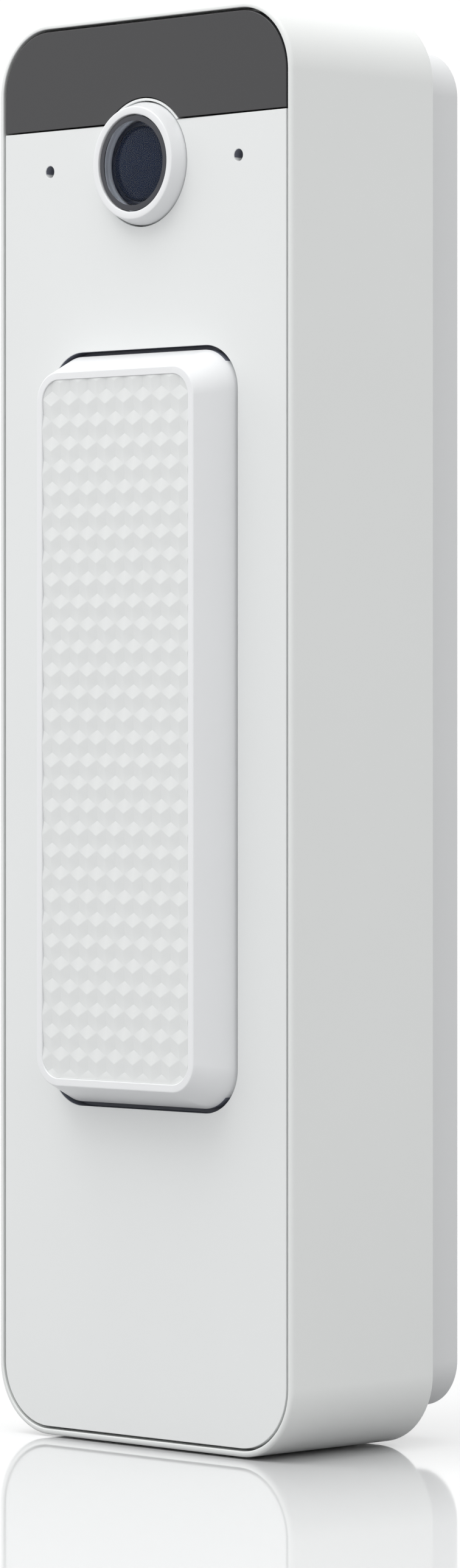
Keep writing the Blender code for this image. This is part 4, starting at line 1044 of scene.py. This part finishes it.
def make_bracket():
    width = bracket_high.x - bracket_low.x
    height = bracket_high.z - bracket_low.z
    front = shell_high.y + 0.0003
    back = bracket_high.y
    floor = back - BRACKET_WALL
    root = floor + BRACKET_WALL / 2
    bracket = lofted(
        "bracket_shell",
        followed(
            width,
            height,
            BRACKET_CORNER,
            [
                (BRACKET_WALL, floor, 0.0004),
                (BRACKET_WALL, front, 0.0001),
                (0.0, front, 0.0001),
                (0.0, back, 0.0003),
            ],
        ),
        middle_z,
    )
    window = [(*CABLE_WINDOW, y) for y in (floor - PAST, back + PAST)]
    cut(bracket, lofted("cable_window", window, jack_z))
    for rise in SLOTS_FROM_MIDDLE:
        z = middle_z + rise
        cut(bracket, slot_cutter("wall_slot", *WALL_SLOT, floor - PAST, back + PAST, z))
        cut(bracket, slot_cutter("slot_sink", *SLOT_SINK, floor - PAST, floor + SINK_DEPTH, z))
    hook_top = bracket_high.z - 0.0022
    lip_back = cover_low_front - 0.00075
    for x in (-HOOK_X, HOOK_X):
        hook = block(
            "hook",
            (x - HOOK_HALF_WIDTH, bracket_low.y, hook_top - HOOK_ARM),
            (x + HOOK_HALF_WIDTH, root, hook_top + 0.0015),
        )
        over_arm = block(
            "over_arm",
            (x - 2 * HOOK_HALF_WIDTH, lip_back, hook_top),
            (x + 2 * HOOK_HALF_WIDTH, root + PAST, hook_top + 0.003),
        )
        cut(hook, over_arm)
        join(bracket, hook)
    lock_y = (lock_low.y + lock_high.y) / 2
    foot = bracket_low.z
    pad = block(
        "lock_pad",
        (-LOCK_PAD_HALF_WIDTH, front + 0.0003, foot + BRACKET_WALL / 2),
        (LOCK_PAD_HALF_WIDTH, root, foot + 0.0041),
    )
    join(bracket, pad)
    cut(
        bracket,
        post("lock_passage", LOCK_PASSAGE, foot - PAST, foot + 0.0051, 0, lock_y),
        post("head_room", HEAD_ROOM, foot - PAST, foot + 0.0026, 0, lock_y),
    )
    ease_rims(bracket, back, 0.00025)
    return place_piece(bracket, "bracket_white", "shell_white", "bracket", "wall_bracket")


def refined(node, finish_name, slot, body, ease=0.00008):
    """A copy of a plain part, its facets merged, its edges rounded and its round sides smooth."""
    piece = bpy.data.objects.new(node + "_finished", frame["nodes"][node].data.copy())
    bpy.context.scene.collection.objects.link(piece)
    open_mesh(piece)
    bpy.ops.mesh.select_all(action="SELECT")
    bpy.ops.mesh.remove_doubles(threshold=SAME_PLACE)
    bpy.ops.mesh.dissolve_limited(angle_limit=math.radians(1))
    close_mesh()
    corner = math.radians(40)
    apply(piece, "BEVEL", width=ease, segments=2, limit_method="ANGLE", angle_limit=corner)
    return place_piece(piece, finish_name, slot, body, node, angle=35)


make_bracket()
refined("rear_cover", "cover_white", "plate_white", "main_body")
refined("ethernet_jack", "steel", "steel", "main_body")
refined("port_seal", "rubber", "rubber", "main_body")
refined("pressure_vent", "cover_white", "plate_white", "main_body")
refined("reset_button", "black_plastic", "black_plastic", "reset_key")
refined("lock_screw", "steel", "steel", "lock", ease=0.00012)
for count in range(1, 5):
    refined(f"cover_screw_{count}", "steel", "steel", "main_body", ease=0.00012)


def make_jack_contacts():
    """The sprung contacts that hang from the socket's roof, and the black liner round them."""
    back = jack_high.y
    outside = (SOCKET_WIDTH - 0.0001, SOCKET_HEIGHT - 0.0001, 0.0003)
    inside = (SOCKET_WIDTH - 0.0010, SOCKET_HEIGHT - 0.0010, 0.0002)
    mouth, end = back - 0.0004, back - 0.0094
    liner = lofted(
        "jack_liner",
        [(*outside, mouth), (*outside, end), (*inside, end), (*inside, mouth)],
        jack_z,
        closed=True,
        steps=4,
    )
    place_piece(liner, "black_plastic", "black_plastic", "main_body")
    roof = jack_z + SOCKET_HEIGHT / 2 - 0.0006
    first_x = -(CONTACT_COUNT - 1) / 2 * CONTACT_PITCH
    low = (first_x - 0.00022, back - 0.0088, roof - 0.00018)
    contacts = block("jack_contacts", low, (first_x + 0.00022, back - 0.0022, roof))
    open_mesh(contacts)
    pick(contacts, "FACE", lambda face: face.normal.y < -0.5)
    bpy.ops.transform.translate(value=(0, 0, -0.0026))
    bpy.ops.mesh.extrude_region_move(TRANSFORM_OT_translate={"value": (0, 0.0006, -0.0004)})
    close_mesh()
    apply(contacts, "BEVEL", width=0.00005, segments=2, limit_method="ANGLE")
    apply(
        contacts,
        "ARRAY",
        count=CONTACT_COUNT,
        use_relative_offset=False,
        use_constant_offset=True,
        constant_offset_displace=(CONTACT_PITCH, 0, 0),
    )
    tidy(contacts)
    place_piece(contacts, "contact_gold", "contact_gold", "main_body")


make_jack_contacts()


# Plain parts that stay as they are take their finishes

for part in frame["record"]["subparts"]:
    shown = frame["nodes"][part["node"]]
    shown.data.materials.clear()
    shown.data.materials.append(FINISHES[part["material_slot"]])


# Stage, camera and light


def make_stage():
    bpy.ops.object.select_all(action="DESELECT")
    bpy.ops.mesh.primitive_plane_add(size=8.0, location=(0, 0, cad_box[0][2] - 0.0002))
    floor = started("floor")
    material = bpy.data.materials.new("pale_floor")
    material.use_nodes = True
    tree = material.node_tree
    shader = tree.nodes["Principled BSDF"]
    shade = with_group(tree, UNEVEN_TONE, Colour=(0.74, 0.745, 0.75, 1), Scale=1.5, Amount=0.01)
    tree.links.new(shade.outputs["Colour"], shader.inputs["Base Color"])
    gloss = with_group(tree, HANDLED_GLOSS, Roughness=0.06, Scale=4.0, Amount=0.01)
    tree.links.new(gloss.outputs["Roughness"], shader.inputs["Roughness"])
    # Painted shade: the floor is pale to the camera and in reflections, but dark grey to bounce
    # light, so the undersides above it get less light.
    seen = add(tree, "LightPath")
    bounce_shade = add(tree, "BsdfDiffuse")
    bounce_shade.inputs["Color"].default_value = (0.34, 0.34, 0.345, 1)
    chosen = add(tree, "MixShader")
    tree.links.new(seen.outputs["Is Diffuse Ray"], chosen.inputs[0])
    tree.links.new(shader.outputs[0], chosen.inputs[1])
    tree.links.new(bounce_shade.outputs[0], chosen.inputs[2])
    tree.links.new(chosen.outputs[0], tree.nodes["Material Output"].inputs["Surface"])
    floor.data.materials.append(material)


def make_camera():
    view = bpy.data.cameras.new("camera")
    view.sensor_fit = "VERTICAL"
    view.sensor_height = 36.0
    view.lens = 142.4
    view.shift_y = -0.0387
    view.clip_start = 0.01
    view.clip_end = 50.0
    camera = bpy.data.objects.new("camera", view)
    camera.location = (0.43443, -0.43365, 0.07057)
    camera.rotation_euler = (math.pi / 2, 0, math.radians(45))
    bpy.context.scene.collection.objects.link(camera)
    bpy.context.scene.camera = camera


def make_lamp(name, place, aim, size, power):
    light = bpy.data.lights.new(name, "AREA")
    light.shape = "RECTANGLE"
    light.size, light.size_y = size
    light.energy = power
    lamp = bpy.data.objects.new(name, light)
    lamp.location = place
    lamp.rotation_euler = (Vector(aim) - Vector(place)).to_track_quat("-Z", "Y").to_euler()
    bpy.context.scene.collection.objects.link(lamp)


def make_world():
    world = bpy.data.worlds.new("studio")
    world.use_nodes = True
    tree = world.node_tree
    room = tree.nodes["Background"]
    room.inputs["Color"].default_value = (1, 1, 1, 1)
    room.inputs["Strength"].default_value = 1.06
    white = add(tree, "Background")
    white.inputs["Strength"].default_value = 1.3
    seen = add(tree, "LightPath")
    chosen = add(tree, "MixShader")
    tree.links.new(seen.outputs["Is Camera Ray"], chosen.inputs[0])
    tree.links.new(room.outputs[0], chosen.inputs[1])
    tree.links.new(white.outputs[0], chosen.inputs[2])
    tree.links.new(chosen.outputs[0], tree.nodes["World Output"].inputs["Surface"])
    bpy.context.scene.world = world
    bpy.context.scene.view_settings.view_transform = "Standard"


make_stage()
make_camera()
make_world()
make_lamp("overhead", (-0.10, -0.25, 0.75), (0, 0, 0.07), (0.6, 0.6), 2.6)
make_lamp("front_fill", (0.10, -1.00, 0.05), (0, 0, 0.07), (0.5, 0.5), 0.45)
make_lamp("left_fill", (-0.80, -0.25, 0.50), (0, 0, 0.07), (0.35, 0.35), 0.7)
